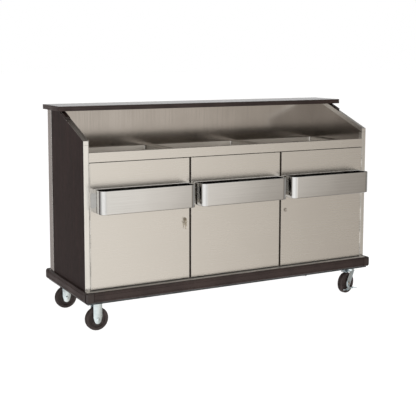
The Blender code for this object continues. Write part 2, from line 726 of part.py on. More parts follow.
def deck(frame):
    """Stainless working deck: a flat sheet with three openings."""
    notch_x = TRIM_INNER_X - GAP
    xs = [-BAY_X, -notch_x, -WELL_OUTER_X, -WELL_INNER_X, -BIN_HALF_LENGTH]
    xs += [-x for x in reversed(xs)]
    front = -BODY_Y - FASCIA_PROUD + SHEET + GAP
    ys = [front, TRIM_BACK_Y + GAP, WELL_FRONT_Y, WELL_BACK_Y, BAY_BACK_Y]
    zs = [DECK_HEIGHT - SHEET, DECK_HEIGHT]

    def sheet(i, j, k):
        opening = j == 2 and i in (2, 4, 6)
        notch = j == 0 and i in (0, 8)
        return not opening and not notch

    piece("deck", cells(xs, ys, zs, sheet), "brushed_stainless", frame)


def fascia(frame):
    """Folded stainless fascia above the doors, whose top ledge runs back over the deck."""
    front = -BODY_Y - FASCIA_PROUD
    ledge = front + FASCIA_LEDGE
    width = TRIM_INNER_X - GAP
    ys = [front, front + SHEET, front + FASCIA_RETURN, ledge - SHEET, ledge]
    zs = [FASCIA_BOTTOM, FASCIA_BOTTOM + SHEET, DECK_HEIGHT + GAP, FASCIA_TOP - SHEET, FASCIA_TOP]

    def sheet(i, j, k):
        face = j == 0
        ledge_sheet = k == 3
        back_flange = j == 3 and k >= 2
        bottom_return = j <= 1 and k == 0
        return face or ledge_sheet or back_flange or bottom_return

    piece("fascia", cells([-width, width], ys, zs, sheet), "brushed_stainless", frame)


def hung_pan(x, y, depth):
    """Sheet pan that hangs by its flange in an opening of the deck."""
    wall = GAP + SHEET
    xs = [x[0] - PAN_FLANGE, x[0] + GAP, x[0] + wall, x[1] - wall, x[1] - GAP, x[1] + PAN_FLANGE]
    ys = [y[0] - PAN_FLANGE, y[0] + GAP, y[0] + wall, y[1] - wall, y[1] - GAP, y[1] + PAN_FLANGE]
    bottom = DECK_HEIGHT - depth
    zs = [bottom, bottom + SHEET, PAN_TOP - SHEET, PAN_TOP]

    def sheet(i, j, k):
        within = i in (1, 2, 3) and j in (1, 2, 3)
        centre = i == 2 and j == 2
        if k == 0:
            return within
        if k == 1:
            return within and not centre
        return not centre

    return cells(xs, ys, zs, sheet)


def bottle_wells(frame):
    """Bottle well in the deck on each side of the ice bin."""
    for name, side in SIDES.items():
        x = span(side, WELL_INNER_X, WELL_OUTER_X)
        pan = hung_pan(x, (WELL_FRONT_Y, WELL_BACK_Y), WELL_DEPTH)
        piece(f"bottle_well_{name}", pan, "brushed_stainless", frame)


def ice_bin(frame):
    """Ice bin with the foam jacket round it, both pierced for the drain."""
    hole = DRAIN_PIPE_RADIUS + GAP
    bottom = DECK_HEIGHT - BIN_DEPTH
    reach = (bottom - 2 * JACKET_THICKNESS, bottom + 2 * JACKET_THICKNESS)
    pan = hung_pan((-BIN_HALF_LENGTH, BIN_HALF_LENGTH), (WELL_FRONT_Y, WELL_BACK_Y), BIN_DEPTH)
    pan = combined(pan, [rod(hole, reach, "Z", (DRAIN_X, DRAIN_Y, 0.0))], "DIFFERENCE")
    piece("ice_bin", pan, "brushed_stainless", frame)

    inner_x = BIN_HALF_LENGTH
    outer_x = inner_x + JACKET_THICKNESS
    xs = [-outer_x, -inner_x, inner_x, outer_x]
    ys = [WELL_FRONT_Y - JACKET_THICKNESS, WELL_FRONT_Y, WELL_BACK_Y, WELL_BACK_Y + JACKET_THICKNESS]
    zs = [bottom - GAP - JACKET_THICKNESS, bottom - GAP, DECK_HEIGHT - SHEET - GAP]
    jacket = cells(xs, ys, zs, lambda i, j, k: k == 0 or (i, j) != (1, 1))
    jacket = combined(jacket, [rod(hole, reach, "Z", (DRAIN_X, DRAIN_Y, 0.0))], "DIFFERENCE")
    piece("ice_bin_jacket", jacket, "insulating_foam", frame)


def drain(frame):
    """Drain valve under the ice bin, and its quarter-turn lever."""
    top = DECK_HEIGHT - BIN_DEPTH + SHEET + GAP
    jacket_bottom = DECK_HEIGHT - BIN_DEPTH - GAP - JACKET_THICKNESS
    body_top = jacket_bottom - VALVE_DROP
    body_bottom = body_top - VALVE_BODY_LENGTH
    bore = DRAIN_PIPE_RADIUS / 2
    profile = [
        (bore, body_bottom - VALVE_TAIL),
        (DRAIN_PIPE_RADIUS, body_bottom - VALVE_TAIL),
        (DRAIN_PIPE_RADIUS, body_bottom),
        (VALVE_BODY_RADIUS, body_bottom),
        (VALVE_BODY_RADIUS, body_top),
        (DRAIN_PIPE_RADIUS, body_top),
        (DRAIN_PIPE_RADIUS, top),
        (DRAIN_FLANGE_RADIUS, top),
        (DRAIN_FLANGE_RADIUS, top + DRAIN_FLANGE_THICKNESS),
        (bore, top + DRAIN_FLANGE_THICKNESS),
    ]
    valve = turned(profile, "Z", (DRAIN_X, DRAIN_Y, 0.0))
    middle = (body_top + body_bottom) / 2
    stem_end = DRAIN_Y - VALVE_BODY_RADIUS - VALVE_STEM_REACH
    stem_start = DRAIN_Y - (bore + VALVE_BODY_RADIUS) / 2
    stem = rod(VALVE_STEM_RADIUS, (stem_end, stem_start), "Y", (DRAIN_X, 0.0, middle))
    piece("drain_valve", combined(valve, [stem], "UNION"), "brass", frame, smooth=True)

    half = LEVER_WIDTH / 2
    lever = block(
        (DRAIN_X - half, DRAIN_X + LEVER_LENGTH),
        (stem_end - GAP - LEVER_THICKNESS, stem_end - GAP),
        (middle - half, middle + half),
    )
    piece("drain_lever", lever, "zinc_plate", frame, (DRAIN_X, stem_end, middle))


# Partitions


def partitions(frame):
    """Partition on each side of the middle bay, with a front flange that doors close against."""
    half = PARTITION_THICKNESS / 2
    flange = PARTITION_FLANGE / 2
    zs = [CASE_BOTTOM, FASCIA_BOTTOM - GAP, DECK_HEIGHT - SHEET - GAP]
    ys = [FLANGE_FRONT_Y, FLANGE_FRONT_Y + SHEET, BAY_BACK_Y]
    for name, side in SIDES.items():
        middle = side * PARTITION_MID_X
        xs = [middle - flange, middle - half, middle + half, middle + flange]
        bm = cells(xs, ys, zs, lambda i, j, k: i == 1 if j == 1 else k == 0)
        piece(f"partition_{name}", bm, "dark_laminate", frame)


# Doors


def door_pan(x):
    """Folded sheet door: face, returns round its edges and a hem at their back."""
    xs = [x[0], x[0] + SHEET, x[0] + DOOR_HEM, x[1] - DOOR_HEM, x[1] - SHEET, x[1]]
    ys = [DOOR_FRONT_Y, DOOR_FRONT_Y + SHEET, DOOR_BACK_Y - SHEET, DOOR_BACK_Y]
    zs = [DOOR_BOTTOM, DOOR_BOTTOM + SHEET, DOOR_BOTTOM + DOOR_HEM]
    zs += [DOOR_TOP - DOOR_HEM, DOOR_TOP - SHEET, DOOR_TOP]

    def sheet(i, j, k):
        if j == 0:
            return True
        if j == 1:
            return i in (0, 4) or k in (0, 4)
        return i != 2 or k != 2

    return cells(xs, ys, zs, sheet)


def middle_panel(frame):
    """Fixed front panel of the middle bay, made as the doors are."""
    piece("middle_panel", door_pan((-MIDDLE_X, MIDDLE_X)), "brushed_stainless", frame)


def door(name, side, axis):
    """One door, with the hole for its lock."""
    lock_x = side * LOCK_X
    hole = rod(
        LOCK_BARREL_RADIUS + GAP, (DOOR_FRONT_Y - SHEET, DOOR_FRONT_Y + 2 * SHEET), "Y",
        (lock_x, 0.0, LOCK_HEIGHT),
    )
    pan = combined(door_pan(span(side, DOOR_INNER_X, DOOR_OUTER_X)), [hole], "DIFFERENCE")
    on_axis(f"door_{name}", pan, "brushed_stainless", axis, (side * HINGE_X, HINGE_Y, 0.0))


def on_axis(name, bm, finish, axis, pivot, smooth=False):
    """Piece measured in the case, hung on the empty that stands on its joint's axis."""
    bmesh.ops.translate(bm, verts=bm.verts, vec=-Vector(pivot))
    return piece(name, bm, finish, axis, smooth=smooth)


def knuckle_outline(centre_x, plate_side, gap_angle, bored):
    """Plan of a hinge knuckle with the short tab that ties it to its leaf.

    plate_side is the side of the pin, -1 or 1 in X, on which the leaf lies. The tab runs
    straight back from there, and the sheet is rolled round the pin to within gap_angle of it.
    A knuckle that is bored turns on the pin, and one that isn't holds the pin fast.
    """
    inner = HINGE_PIN_RADIUS + GAP
    sweep = 2 * math.pi - gap_angle
    angles = [-sweep * step / HINGE_ARC_STEPS for step in range(HINGE_ARC_STEPS + 1)]

    def around(radius, angle):
        x = centre_x + plate_side * radius * math.cos(angle)
        return (x, HINGE_Y + radius * math.sin(angle))

    tab_back = DOOR_FRONT_Y + HINGE_TAB_DEPTH
    tab = [(centre_x + plate_side * inner, tab_back), (centre_x + plate_side * HINGE_RADIUS, tab_back)]
    roll = [around(HINGE_RADIUS, angle) for angle in angles]
    bore = [around(inner, angle) for angle in reversed(angles)] if bored else []
    return tab + roll + bore


def hinge_plate(side, plate_side, back):
    """Flat leaf of a continuous hinge, beside the door's edge."""
    centre_x = side * HINGE_X
    inner = HINGE_PIN_RADIUS + GAP
    x = tuple(sorted((centre_x + plate_side * inner, centre_x + plate_side * HINGE_RADIUS)))
    return block(x, (DOOR_FRONT_Y + HINGE_LEAF, back), (DOOR_BOTTOM, DOOR_TOP))


def knuckle_ends(first):
    """Lowest and highest Z of every other knuckle, from the first one given."""
    pitch = (DOOR_TOP - DOOR_BOTTOM) / HINGE_KNUCKLES
    lows = [DOOR_BOTTOM + knuckle * pitch for knuckle in range(first, HINGE_KNUCKLES, 2)]
    return [(low + GAP / 2, low + pitch - GAP / 2) for low in lows]


def case_leaf(side):
    """Leaf on the case, with the pin held fast in its knuckles."""
    centre_x = side * HINGE_X
    plate = hinge_plate(side, side, HINGE_Y + HINGE_LEAF_DEPTH)
    closed = math.acos((HINGE_PIN_RADIUS + GAP) / HINGE_RADIUS)
    outline = knuckle_outline(centre_x, side, closed, False)
    solids = [prism(outline, "Z", ends) for ends in knuckle_ends(0)]
    pin_ends = (DOOR_BOTTOM, DOOR_TOP)
    solids.append(rod(HINGE_PIN_RADIUS, pin_ends, "Z", (centre_x, HINGE_Y, 0.0), HINGE_PIN_STEPS))
    return combined(plate, solids, "UNION")


def door_leaf(side):
    """Leaf that rides on the door, with its knuckles rolled round the pin."""
    plate = hinge_plate(side, -side, DOOR_BACK_Y - SHEET)
    outline = knuckle_outline(side * HINGE_X, -side, HINGE_OPEN_ANGLE, True)
    return combined(plate, [prism(outline, "Z", ends) for ends in knuckle_ends(1)], "UNION")


def hinges(frame, axes):
    """Continuous hinge of each door: a leaf on the case and a leaf on the door."""
    for name, side in SIDES.items():
        pivot = (side * HINGE_X, HINGE_Y, 0.0)
        piece(f"hinge_leaf_case_{name}", case_leaf(side), "brushed_stainless", frame)
        on_axis(f"hinge_leaf_door_{name}", door_leaf(side), "brushed_stainless", axes[name], pivot)


# Locks


def lock(name, side, axis):
    """Cam lock of one door: its body in the door, and the plug with the cam that turns in it."""
    pivot = (side * HINGE_X, HINGE_Y, 0.0)
    lock_x = side * LOCK_X
    bezel_front = DOOR_FRONT_Y - GAP - LOCK_BEZEL_THICKNESS
    cam_front = FLANGE_FRONT_Y + SHEET + CAM_CLEARANCE
    bore = LOCK_PLUG_RADIUS + GAP
    profile = [
        (bore, bezel_front),
        (LOCK_BEZEL_RADIUS, bezel_front),
        (LOCK_BEZEL_RADIUS, DOOR_FRONT_Y - GAP),
        (LOCK_BARREL_RADIUS, DOOR_FRONT_Y - GAP),
        (LOCK_BARREL_RADIUS, cam_front - GAP),
        (bore, cam_front - GAP),
    ]
    body = turned(profile, "Y", (lock_x, 0.0, LOCK_HEIGHT))
    on_axis(f"lock_body_{name}", body, "zinc_plate", axis, pivot, smooth=True)

    plug_pivot = Vector((lock_x, bezel_front, LOCK_HEIGHT))
    plug_axis = empty(f"lock_axis_{name}", plug_pivot - Vector(pivot), axis)
    half = CAM_WIDTH / 2
    plug_ends = (bezel_front, cam_front + CAM_THICKNESS / 2)
    plug = rod(LOCK_PLUG_RADIUS, plug_ends, "Y", (lock_x, 0.0, LOCK_HEIGHT))
    cam = block(
        (lock_x - half, lock_x + half),
        (cam_front, cam_front + CAM_THICKNESS),
        (LOCK_HEIGHT - half, LOCK_HEIGHT + CAM_LENGTH),
    )
    plug = combined(plug, [cam], "UNION")
    on_axis(f"lock_cam_{name}", plug, "zinc_plate", plug_axis, plug_pivot, smooth=True)
    return plug_axis, plug_pivot


def key_bow(x, y, z):
    """Flat bow of a key, square on to X, with a round hole at its middle."""
    bow = block(
        (x - KEY_THICKNESS / 2, x + KEY_THICKNESS / 2),
        (y - KEY_BOW_LENGTH / 2, y + KEY_BOW_LENGTH / 2),
        (z - KEY_BOW_HEIGHT / 2, z + KEY_BOW_HEIGHT / 2),
    )
    ends = (x - KEY_THICKNESS, x + KEY_THICKNESS)
    hole = rod(KEY_HOLE_RADIUS, ends, "X", (0.0, y, z), KEY_HOLE_STEPS)
    return combined(bow, [hole], "DIFFERENCE")


def keys(plug_axis, pivot):
    """Key in the left lock, with a ring through its bow and the spare key hanging from it."""
    x, face, z = pivot
    bow_y = face - GAP - KEY_BOW_LENGTH / 2
    seat = KEY_HOLE_RADIUS - KEY_RING_WIRE + KEY_RING_BITE
    ring_z = z - seat - KEY_RING_RADIUS
    spare_z = ring_z - KEY_RING_RADIUS - seat
    turns = [2 * math.pi * step / KEY_WIRE_STEPS for step in range(KEY_WIRE_STEPS)]
    wire = [
        (KEY_RING_RADIUS + KEY_RING_WIRE * math.cos(turn), KEY_RING_WIRE * math.sin(turn))
        for turn in turns
    ]
    ring = turned(wire, "Y", (x, bow_y, ring_z), KEY_RING_STEPS)
    blade_top = spare_z - KEY_BOW_HEIGHT / 2 + KEY_THICKNESS / 2
    blade = block(
        (x - KEY_THICKNESS / 2, x + KEY_THICKNESS / 2),
        (bow_y - KEY_BLADE_WIDTH / 2, bow_y + KEY_BLADE_WIDTH / 2),
        (blade_top - KEY_BLADE_LENGTH, blade_top),
    )
    hanging = combined(key_bow(x, bow_y, spare_z), [blade], "UNION")
    bunch = combined(key_bow(x, bow_y, z), [ring, hanging], "UNION")
    on_axis("keys", bunch, "brass", plug_axis, pivot)


# Speed rails


def rounded_plan(x, depth, inset):
    """Plan of a rail's trough from its back wall forward, inset all round, with two rounded corners."""
    back = RAIL_BACK_Y - inset
    front = RAIL_BACK_Y - depth + inset
    low, high = x[0] + inset, x[1] - inset
    radius = RAIL_CORNER_RADIUS - inset
    points = [(high, back), (low, back)]
    for centre_x, start in ((low + radius, math.pi), (high - radius, 1.5 * math.pi)):
        for step in range(RAIL_CORNER_STEPS + 1):
            angle = start + math.pi / 2 * step / RAIL_CORNER_STEPS
            points.append((centre_x + radius * math.cos(angle), front + radius + radius * math.sin(angle)))
    return points


def rail_trough(x):
    """Open trough with rounded front corners and a hem round its rim."""
    outer = rounded_plan(x, RAIL_DEPTH, 0.0)
    wall = rounded_plan(x, RAIL_DEPTH, SHEET)
    hem = rounded_plan(x, RAIL_DEPTH, RAIL_HEM)
    top = RAIL_BOTTOM + RAIL_HEIGHT
    hem_foot = top - RAIL_HEM_HEIGHT
    levels = [
        (outer, RAIL_BOTTOM),
        (outer, top),
        (hem, top),
        (hem, hem_foot),
        (wall, hem_foot),
        (wall, RAIL_BOTTOM + SHEET),
    ]
    bm = bmesh.new()
    rings = [[bm.verts.new((px, py, z)) for px, py in plan] for plan, z in levels]
    count = len(outer)
    for ring, after in zip(rings, rings[1:]):
        for n in range(count):
            m = (n + 1) % count
            bm.faces.new((ring[n], ring[m], after[m], after[n]))
    bm.faces.new(rings[0])
    bm.faces.new(rings[-1])
    bmesh.ops.recalc_face_normals(bm, faces=bm.faces)
    return bm


def rail_tab(end_x, outward, width):
    """Hanging tab beyond one end of a rail's back wall, with clipped outer corners."""
    low = RAIL_BOTTOM + RAIL_TAB_LIFT
    high = low + RAIL_TAB_HEIGHT
    inner = end_x - outward * SHEET / 2
    outer = end_x + outward * width
    clip = outer - outward * RAIL_TAB_CHAMFER
    outline = [
        (inner, low),
        (clip, low),
        (outer, low + RAIL_TAB_CHAMFER),
        (outer, high - RAIL_TAB_CHAMFER),
        (clip, high),
        (inner, high),
    ]
    return prism(outline, "Y", (RAIL_BACK_Y - SHEET, RAIL_BACK_Y))


def speed_rail(name, x, tab_widths, parent, pivot):
    """One lift-off speed rail: its trough, and a hanging tab of the given width at each end."""
    tabs = [rail_tab(x[0], -1, tab_widths[0]), rail_tab(x[1], 1, tab_widths[1])]
    rail = combined(rail_trough(x), tabs, "UNION")
    on_axis(f"speed_rail_{name}", rail, "brushed_stainless", parent, pivot, smooth=True)


def speed_rails(frame, axes):
    """Speed rail on each door and on the middle panel."""
    for name, side in SIDES.items():
        x = span(side, SIDE_RAIL_OUTER_X - RAIL_LENGTH, SIDE_RAIL_OUTER_X)
        tab_widths = (RAIL_INNER_TAB_WIDTH, RAIL_TAB_WIDTH)
        if side < 0:
            tab_widths = tuple(reversed(tab_widths))
        speed_rail(name, x, tab_widths, axes[name], (side * HINGE_X, HINGE_Y, 0.0))
    half = RAIL_LENGTH / 2
    inner_tabs = (RAIL_INNER_TAB_WIDTH, RAIL_INNER_TAB_WIDTH)
    speed_rail("middle", (-half, half), inner_tabs, frame, (0.0, 0.0, 0.0))


# Casters


def leg_faces():
    """Distance of a fork leg's inner and outer face from the middle of the wheel."""
    inner = HUB_WIDTH / 2 + GAP
    return inner, inner + FORK_SHEET


def fork_legs(lead, top):
    """Two round-ended legs beside a wheel that stands the lead behind the origin, towards -X."""
    inner, outer = leg_faces()
    half = FORK_LEG_WIDTH / 2
    outline = [(-lead - half, top)]
    steps = ROUND_STEPS // 2
    for step in range(steps + 1):
        angle = math.pi + math.pi * step / steps
        x = -lead + half * math.cos(angle)
        outline.append((x, WHEEL_RADIUS + FORK_LEG_DROP * math.sin(angle)))
    outline.append((-lead + half, top))
    return [prism(outline, "Y", (inner, outer)), prism(outline, "Y", (-outer, -inner))]


def mounting_plate():
    """Flat plate of a caster, bolted under the base frame."""
    half_x, half_y = PLATE_LENGTH / 2, PLATE_WIDTH / 2
    return block((-half_x, half_x), (-half_y, half_y), (CASTER_HEIGHT - PLATE_THICKNESS, CASTER_HEIGHT))


def axle_profile(near, far):
    """Half section of an axle along Y whose two heads start at -near and at far."""
    return [
        (0.0, -near - AXLE_HEAD_HEIGHT),
        (AXLE_HEAD_RADIUS, -near - AXLE_HEAD_HEIGHT),
        (AXLE_HEAD_RADIUS, -near),
        (AXLE_RADIUS, -near),
        (AXLE_RADIUS, far),
        (AXLE_HEAD_RADIUS, far),
        (AXLE_HEAD_RADIUS, far + AXLE_HEAD_HEIGHT),
        (0.0, far + AXLE_HEAD_HEIGHT),
    ]


def rigid_fork():
    """Fixed caster's fork: plate and legs in one pressing, with the axle riveted through them."""
    plate_middle = CASTER_HEIGHT - PLATE_THICKNESS / 2
    seat = leg_faces()[1] - FORK_SHEET / 2
    rivet = turned(axle_profile(seat, seat), "Y", (0.0, 0.0, WHEEL_RADIUS), AXLE_STEPS)
    return combined(mounting_plate(), [*fork_legs(0.0, plate_middle), rivet], "UNION")


def swivel_plate():
    """Swivel caster's plate, with its upper race and the kingpin that the fork turns on."""
    plate_bottom = CASTER_HEIGHT - PLATE_THICKNESS
    race_bottom = plate_bottom - UPPER_RACE_HEIGHT
    head_top = CROWN_BOTTOM - GAP
    profile = [
        (0.0, head_top - KINGPIN_HEAD_HEIGHT),
        (KINGPIN_HEAD_RADIUS, head_top - KINGPIN_HEAD_HEIGHT),
        (KINGPIN_HEAD_RADIUS, head_top),
        (KINGPIN_RADIUS, head_top),
        (KINGPIN_RADIUS, race_bottom),
        (RACE_RADIUS, race_bottom),
        (RACE_RADIUS, plate_bottom + PLATE_THICKNESS / 2),
        (0.0, plate_bottom + PLATE_THICKNESS / 2),
    ]
    return combined(mounting_plate(), [turned(profile, "Z")], "UNION")


def swivel_fork():
    """Swivel caster's fork in its own frame: turns about Z, its wheel trailing towards -X."""
    outer = leg_faces()[1]
    tail = -CASTER_LEAD - FORK_LEG_WIDTH / 2
    crown_middle = CROWN_BOTTOM + FORK_SHEET / 2
    crown = block((tail, RACE_RADIUS), (-outer, outer), (CROWN_BOTTOM, CROWN_BOTTOM + FORK_SHEET))
    race = rod(RACE_RADIUS, (crown_middle, RACE_TOP), "Z")
    axle_centre = (-CASTER_LEAD, 0.0, WHEEL_RADIUS)
    holes = [
        rod(KINGPIN_RADIUS + GAP, (CROWN_BOTTOM - FORK_SHEET, RACE_TOP + FORK_SHEET), "Z"),
        rod(AXLE_RADIUS + GAP, (-outer - FORK_SHEET, outer + FORK_SHEET), "Y", axle_centre, AXLE_STEPS),
    ]
    solid = combined(crown, [*fork_legs(CASTER_LEAD, crown_middle), race], "UNION")
    return combined(solid, holes, "DIFFERENCE")


def wheel(lead):
    """Wheel with a grooved tread, a recessed web and a hub that is bored for the axle."""
    half, hub, groove = WHEEL_WIDTH / 2, HUB_WIDTH / 2, TREAD_GROOVE / 2
    web = half - WEB_RECESS
    side = [
        (AXLE_RADIUS + GAP, hub),
        (HUB_RADIUS, hub),
        (HUB_RADIUS, web),
        (WEB_RADIUS, web),
        (WEB_RADIUS, half),
        (WHEEL_RADIUS - TREAD_CHAMFER, half),
        (WHEEL_RADIUS, half - TREAD_CHAMFER),
        (WHEEL_RADIUS, groove),
        (WHEEL_RADIUS - TREAD_GROOVE_DEPTH, groove),
    ]
    profile = side + [(radius, -height) for radius, height in reversed(side)]
    return turned(profile, "Y", (-lead, 0.0, WHEEL_RADIUS), WHEEL_STEPS, flat_down=True)


def axle():
    """Axle bolt of a braked swivel caster, with its head outside the brake pedal, and its nut."""
    far = leg_faces()[1] + GAP
    near = far + FORK_SHEET + GAP
    return turned(axle_profile(near, far), "Y", (-CASTER_LEAD, 0.0, WHEEL_RADIUS), AXLE_STEPS)


def brake_pedal():
    """Brake rocker outside one leg: it hangs from the axle and has a foot pad at each end."""
    near = leg_faces()[1] + GAP
    outer = near + FORK_SHEET
    half = PEDAL_STRAP_WIDTH / 2
    arm_low = -PEDAL_DROP - PEDAL_ARM_HEIGHT
    strap = block((-half, half), (-outer, -near), (arm_low + FORK_SHEET, PEDAL_STRAP_RISE))
    arm = block((-PEDAL_REACH, PEDAL_REACH), (-outer, -near), (arm_low, -PEDAL_DROP))
    pad_z = (-PEDAL_DROP - FORK_SHEET, -PEDAL_DROP)
    pad_y = (-outer - PEDAL_PAD_REACH, -near - FORK_SHEET / 2)
    inner_end = PEDAL_REACH - PEDAL_PAD_LENGTH
    pads = [block(span(side, inner_end, PEDAL_REACH), pad_y, pad_z) for side in (-1, 1)]
    hole = rod(AXLE_RADIUS + GAP, (-outer - FORK_SHEET, -near + FORK_SHEET), "Y", steps=AXLE_STEPS)
    rocker = combined(combined(arm, [strap, *pads], "UNION"), [hole], "DIFFERENCE")
    bmesh.ops.translate(rocker, verts=rocker.verts, vec=(-CASTER_LEAD, 0.0, WHEEL_RADIUS))
    return rocker


def casters(frame):
    """Fixed casters at the left end, and swivel casters with side brakes at the right end."""
    for end_name, end in ENDS.items():
        name = f"{end_name}_left"
        fixed = empty(f"caster_place_{name}", (-CASTER_X, end * CASTER_Y, 0.0), frame)
        piece(f"caster_fork_{name}", rigid_fork(), "zinc_plate", fixed)
        centre = (0.0, 0.0, WHEEL_RADIUS)
        piece(f"caster_wheel_{name}", wheel(0.0), "black_rubber", fixed, centre, smooth=True)

        name = f"{end_name}_right"
        place = (CASTER_X, end * CASTER_Y, 0.0)
        fixed = empty(f"caster_place_{name}", place, frame)
        swivel = empty(f"swivel_axis_{name}", place, frame, SWIVEL_TURNS[end_name])
        centre = (-CASTER_LEAD, 0.0, WHEEL_RADIUS)
        piece(f"caster_plate_{name}", swivel_plate(), "zinc_plate", fixed, smooth=True)
        piece(f"caster_fork_{name}", swivel_fork(), "zinc_plate", swivel, smooth=True)
        piece(f"caster_axle_{name}", axle(), "zinc_plate", swivel, centre, smooth=True)
        piece(f"caster_wheel_{name}", wheel(CASTER_LEAD), "black_rubber", swivel, centre, smooth=True)
        piece(f"brake_pedal_{name}", brake_pedal(), "zinc_plate", swivel, centre)


def main():
    """Build the bar."""
    for old in list(bpy.data.objects):
        bpy.data.objects.remove(old)
    frame = empty("bar_frame", (0.0, FRAME_Y, 0.0))
    base_frame(frame)
    base_pan(frame)
    bumpers(frame)
    side_panels(frame)
    case_liner(frame)
    front_trims(frame)
    slope_trims(frame)
    slope_blocks(frame)
    corner_guards(frame)
    back_wall(frame)
    bar_top(frame)
    deck(frame)
    fascia(frame)
    bottle_wells(frame)
    ice_bin(frame)
    drain(frame)
    partitions(frame)
    middle_panel(frame)
    axes = {}
    for name, side in SIDES.items():
        axes[name] = empty(f"door_axis_{name}", (side * HINGE_X, HINGE_Y, 0.0), frame)
        door(name, side, axes[name])
        plug_axis, plug_pivot = lock(name, side, axes[name])
        if name == KEYED_SIDE:
            keys(plug_axis, plug_pivot)
    hinges(frame, axes)
    speed_rails(frame, axes)
    casters(frame)


main()
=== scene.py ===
"""Portable bar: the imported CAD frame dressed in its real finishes, with finer visible pieces.

Metres, +Z up, +X along the bar from left to right seen from the bartender's side, -Y towards
the bartender. Each sub-assembly is a class. It keeps the CAD nodes whose shape is right and
gives them a finish, or makes a finer piece that stands for a node. The studio round them is the
floor, the lights and the camera.
"""

from __future__ import annotations

import functools
import json
import logging
import math
from dataclasses import dataclass
from enum import Enum
from typing import Any, Sequence

import bmesh
import bpy
from mathutils import Euler, Matrix, Vector

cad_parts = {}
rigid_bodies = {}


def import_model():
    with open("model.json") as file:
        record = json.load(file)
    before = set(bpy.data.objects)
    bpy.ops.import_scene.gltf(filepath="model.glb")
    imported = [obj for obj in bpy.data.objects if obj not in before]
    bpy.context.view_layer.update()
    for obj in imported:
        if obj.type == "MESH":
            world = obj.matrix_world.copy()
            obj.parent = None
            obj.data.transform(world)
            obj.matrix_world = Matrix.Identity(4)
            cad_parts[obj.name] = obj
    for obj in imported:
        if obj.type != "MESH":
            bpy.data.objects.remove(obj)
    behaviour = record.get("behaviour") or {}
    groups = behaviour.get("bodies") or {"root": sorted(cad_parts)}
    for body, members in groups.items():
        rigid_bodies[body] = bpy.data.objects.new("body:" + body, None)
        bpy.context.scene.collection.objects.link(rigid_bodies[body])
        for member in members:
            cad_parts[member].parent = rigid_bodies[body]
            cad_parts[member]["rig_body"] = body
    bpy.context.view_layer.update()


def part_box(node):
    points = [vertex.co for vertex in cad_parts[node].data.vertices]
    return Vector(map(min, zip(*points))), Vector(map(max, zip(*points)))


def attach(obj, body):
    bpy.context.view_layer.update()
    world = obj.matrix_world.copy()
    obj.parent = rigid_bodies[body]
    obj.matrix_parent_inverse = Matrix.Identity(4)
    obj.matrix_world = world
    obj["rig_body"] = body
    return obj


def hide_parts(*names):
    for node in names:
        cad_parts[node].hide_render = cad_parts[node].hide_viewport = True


Tree = bpy.types.NodeTree
Node = bpy.types.Node
Mesh = bpy.types.Mesh
Shape = bmesh.types.BMesh
Point = tuple[float, float]
Point3 = tuple[float, float, float]
Profile = tuple[Point, ...]

LOG = logging.getLogger("portable_bar")
UP = Vector((0.0, 0.0, 1.0))
ACROSS = Vector((0.0, 1.0, 0.0))

# Corners nearer than this are one corner, in a CAD node and in a shape made here.
NODE_MERGE, MERGE = 0.000004, 0.000001
# Faces of a CAD node that differ by less than this, in degrees, are one flat face.
ONE_PLANE = 1.0
# Points of a profile nearer to the axis than this lie on it.
ON_AXIS = 0.00001
# Radius of a corner that is drawn square.
SQUARE = 0.00002
# Edges from this many degrees up are eased, and those over the second stay sharp after it.
EASE_FROM, EASED_SHARP = 40.0, 14.0
# Faces of a board or a door from this size up, in square metres, are shaded dead flat.
FLAT_FACE = 0.08
# How fine a brushed pattern is along its lines and across them.
LONG, FINE = 3.0, 380.0


class Named(Enum):
    """Choice that is spelt out in the nodes' names."""

    @property
    def word(self) -> str:
        """Name of the choice as the nodes spell it."""
        return self.name.lower()


class Side(Named):
    """Left or right end of the bar, seen from the bartender's side."""

    LEFT = -1
    RIGHT = 1


class End(Named):
    """Bartender's side or customers' side of the bar."""

    FRONT = -1
    REAR = 1


class Grain(Enum):
    """Direction of a brushed grain, as how fine the pattern is along X, Y and Z."""

    LENGTHWISE = (LONG, FINE, FINE)
    UPRIGHT = (FINE, FINE, LONG)
    FRONT_TO_BACK = (FINE, LONG, FINE)


def linear(colour: str) -> tuple[float, float, float, float]:
    """Turn an sRGB hex colour into linear red, green, blue and alpha.

    Args:
        colour: six hex digits.

    Returns:
        The colour as Blender's shader sockets take it.
    """
    channels = [int(colour[place:place + 2], 16) / 255 for place in (0, 2, 4)]
    lit = [c / 12.92 if c <= 0.04045 else ((c + 0.055) / 1.055) ** 2.4 for c in channels]
    return (lit[0], lit[1], lit[2], 1.0)


def add_node(
    tree: Tree,
    kind: str,
    settings: dict[str, Any] | None = None,
    inputs: dict[str | int, Any] | None = None,
) -> Node:
    """Add a node to a tree with its settings, its input values and its links.

    Args:
        tree: tree that the node goes into.
        kind: Blender's name for the type of node.
        settings: attribute values. "stops" gives a ramp its (place, hex colour) pairs.
        inputs: for each input socket, by name or number: a value, an output to link, or a node
            whose first output is linked.

    Returns:
        The new node.
    """
    node = tree.nodes.new(kind)
    for name, value in (settings or {}).items():
        if name != "stops":
            setattr(node, name, value)
            continue
        ramp = node.color_ramp
        while len(ramp.elements) < len(value):
            ramp.elements.new(1.0)
        for element, (place, colour) in zip(ramp.elements, value):
            element.position = place
            element.color = linear(colour)
    for name, value in (inputs or {}).items():
        if isinstance(value, Node):
            value = value.outputs[0]
        if isinstance(value, bpy.types.NodeSocket):
            tree.links.new(value, node.inputs[name])
        else:
            node.inputs[name].default_value = value
    return node


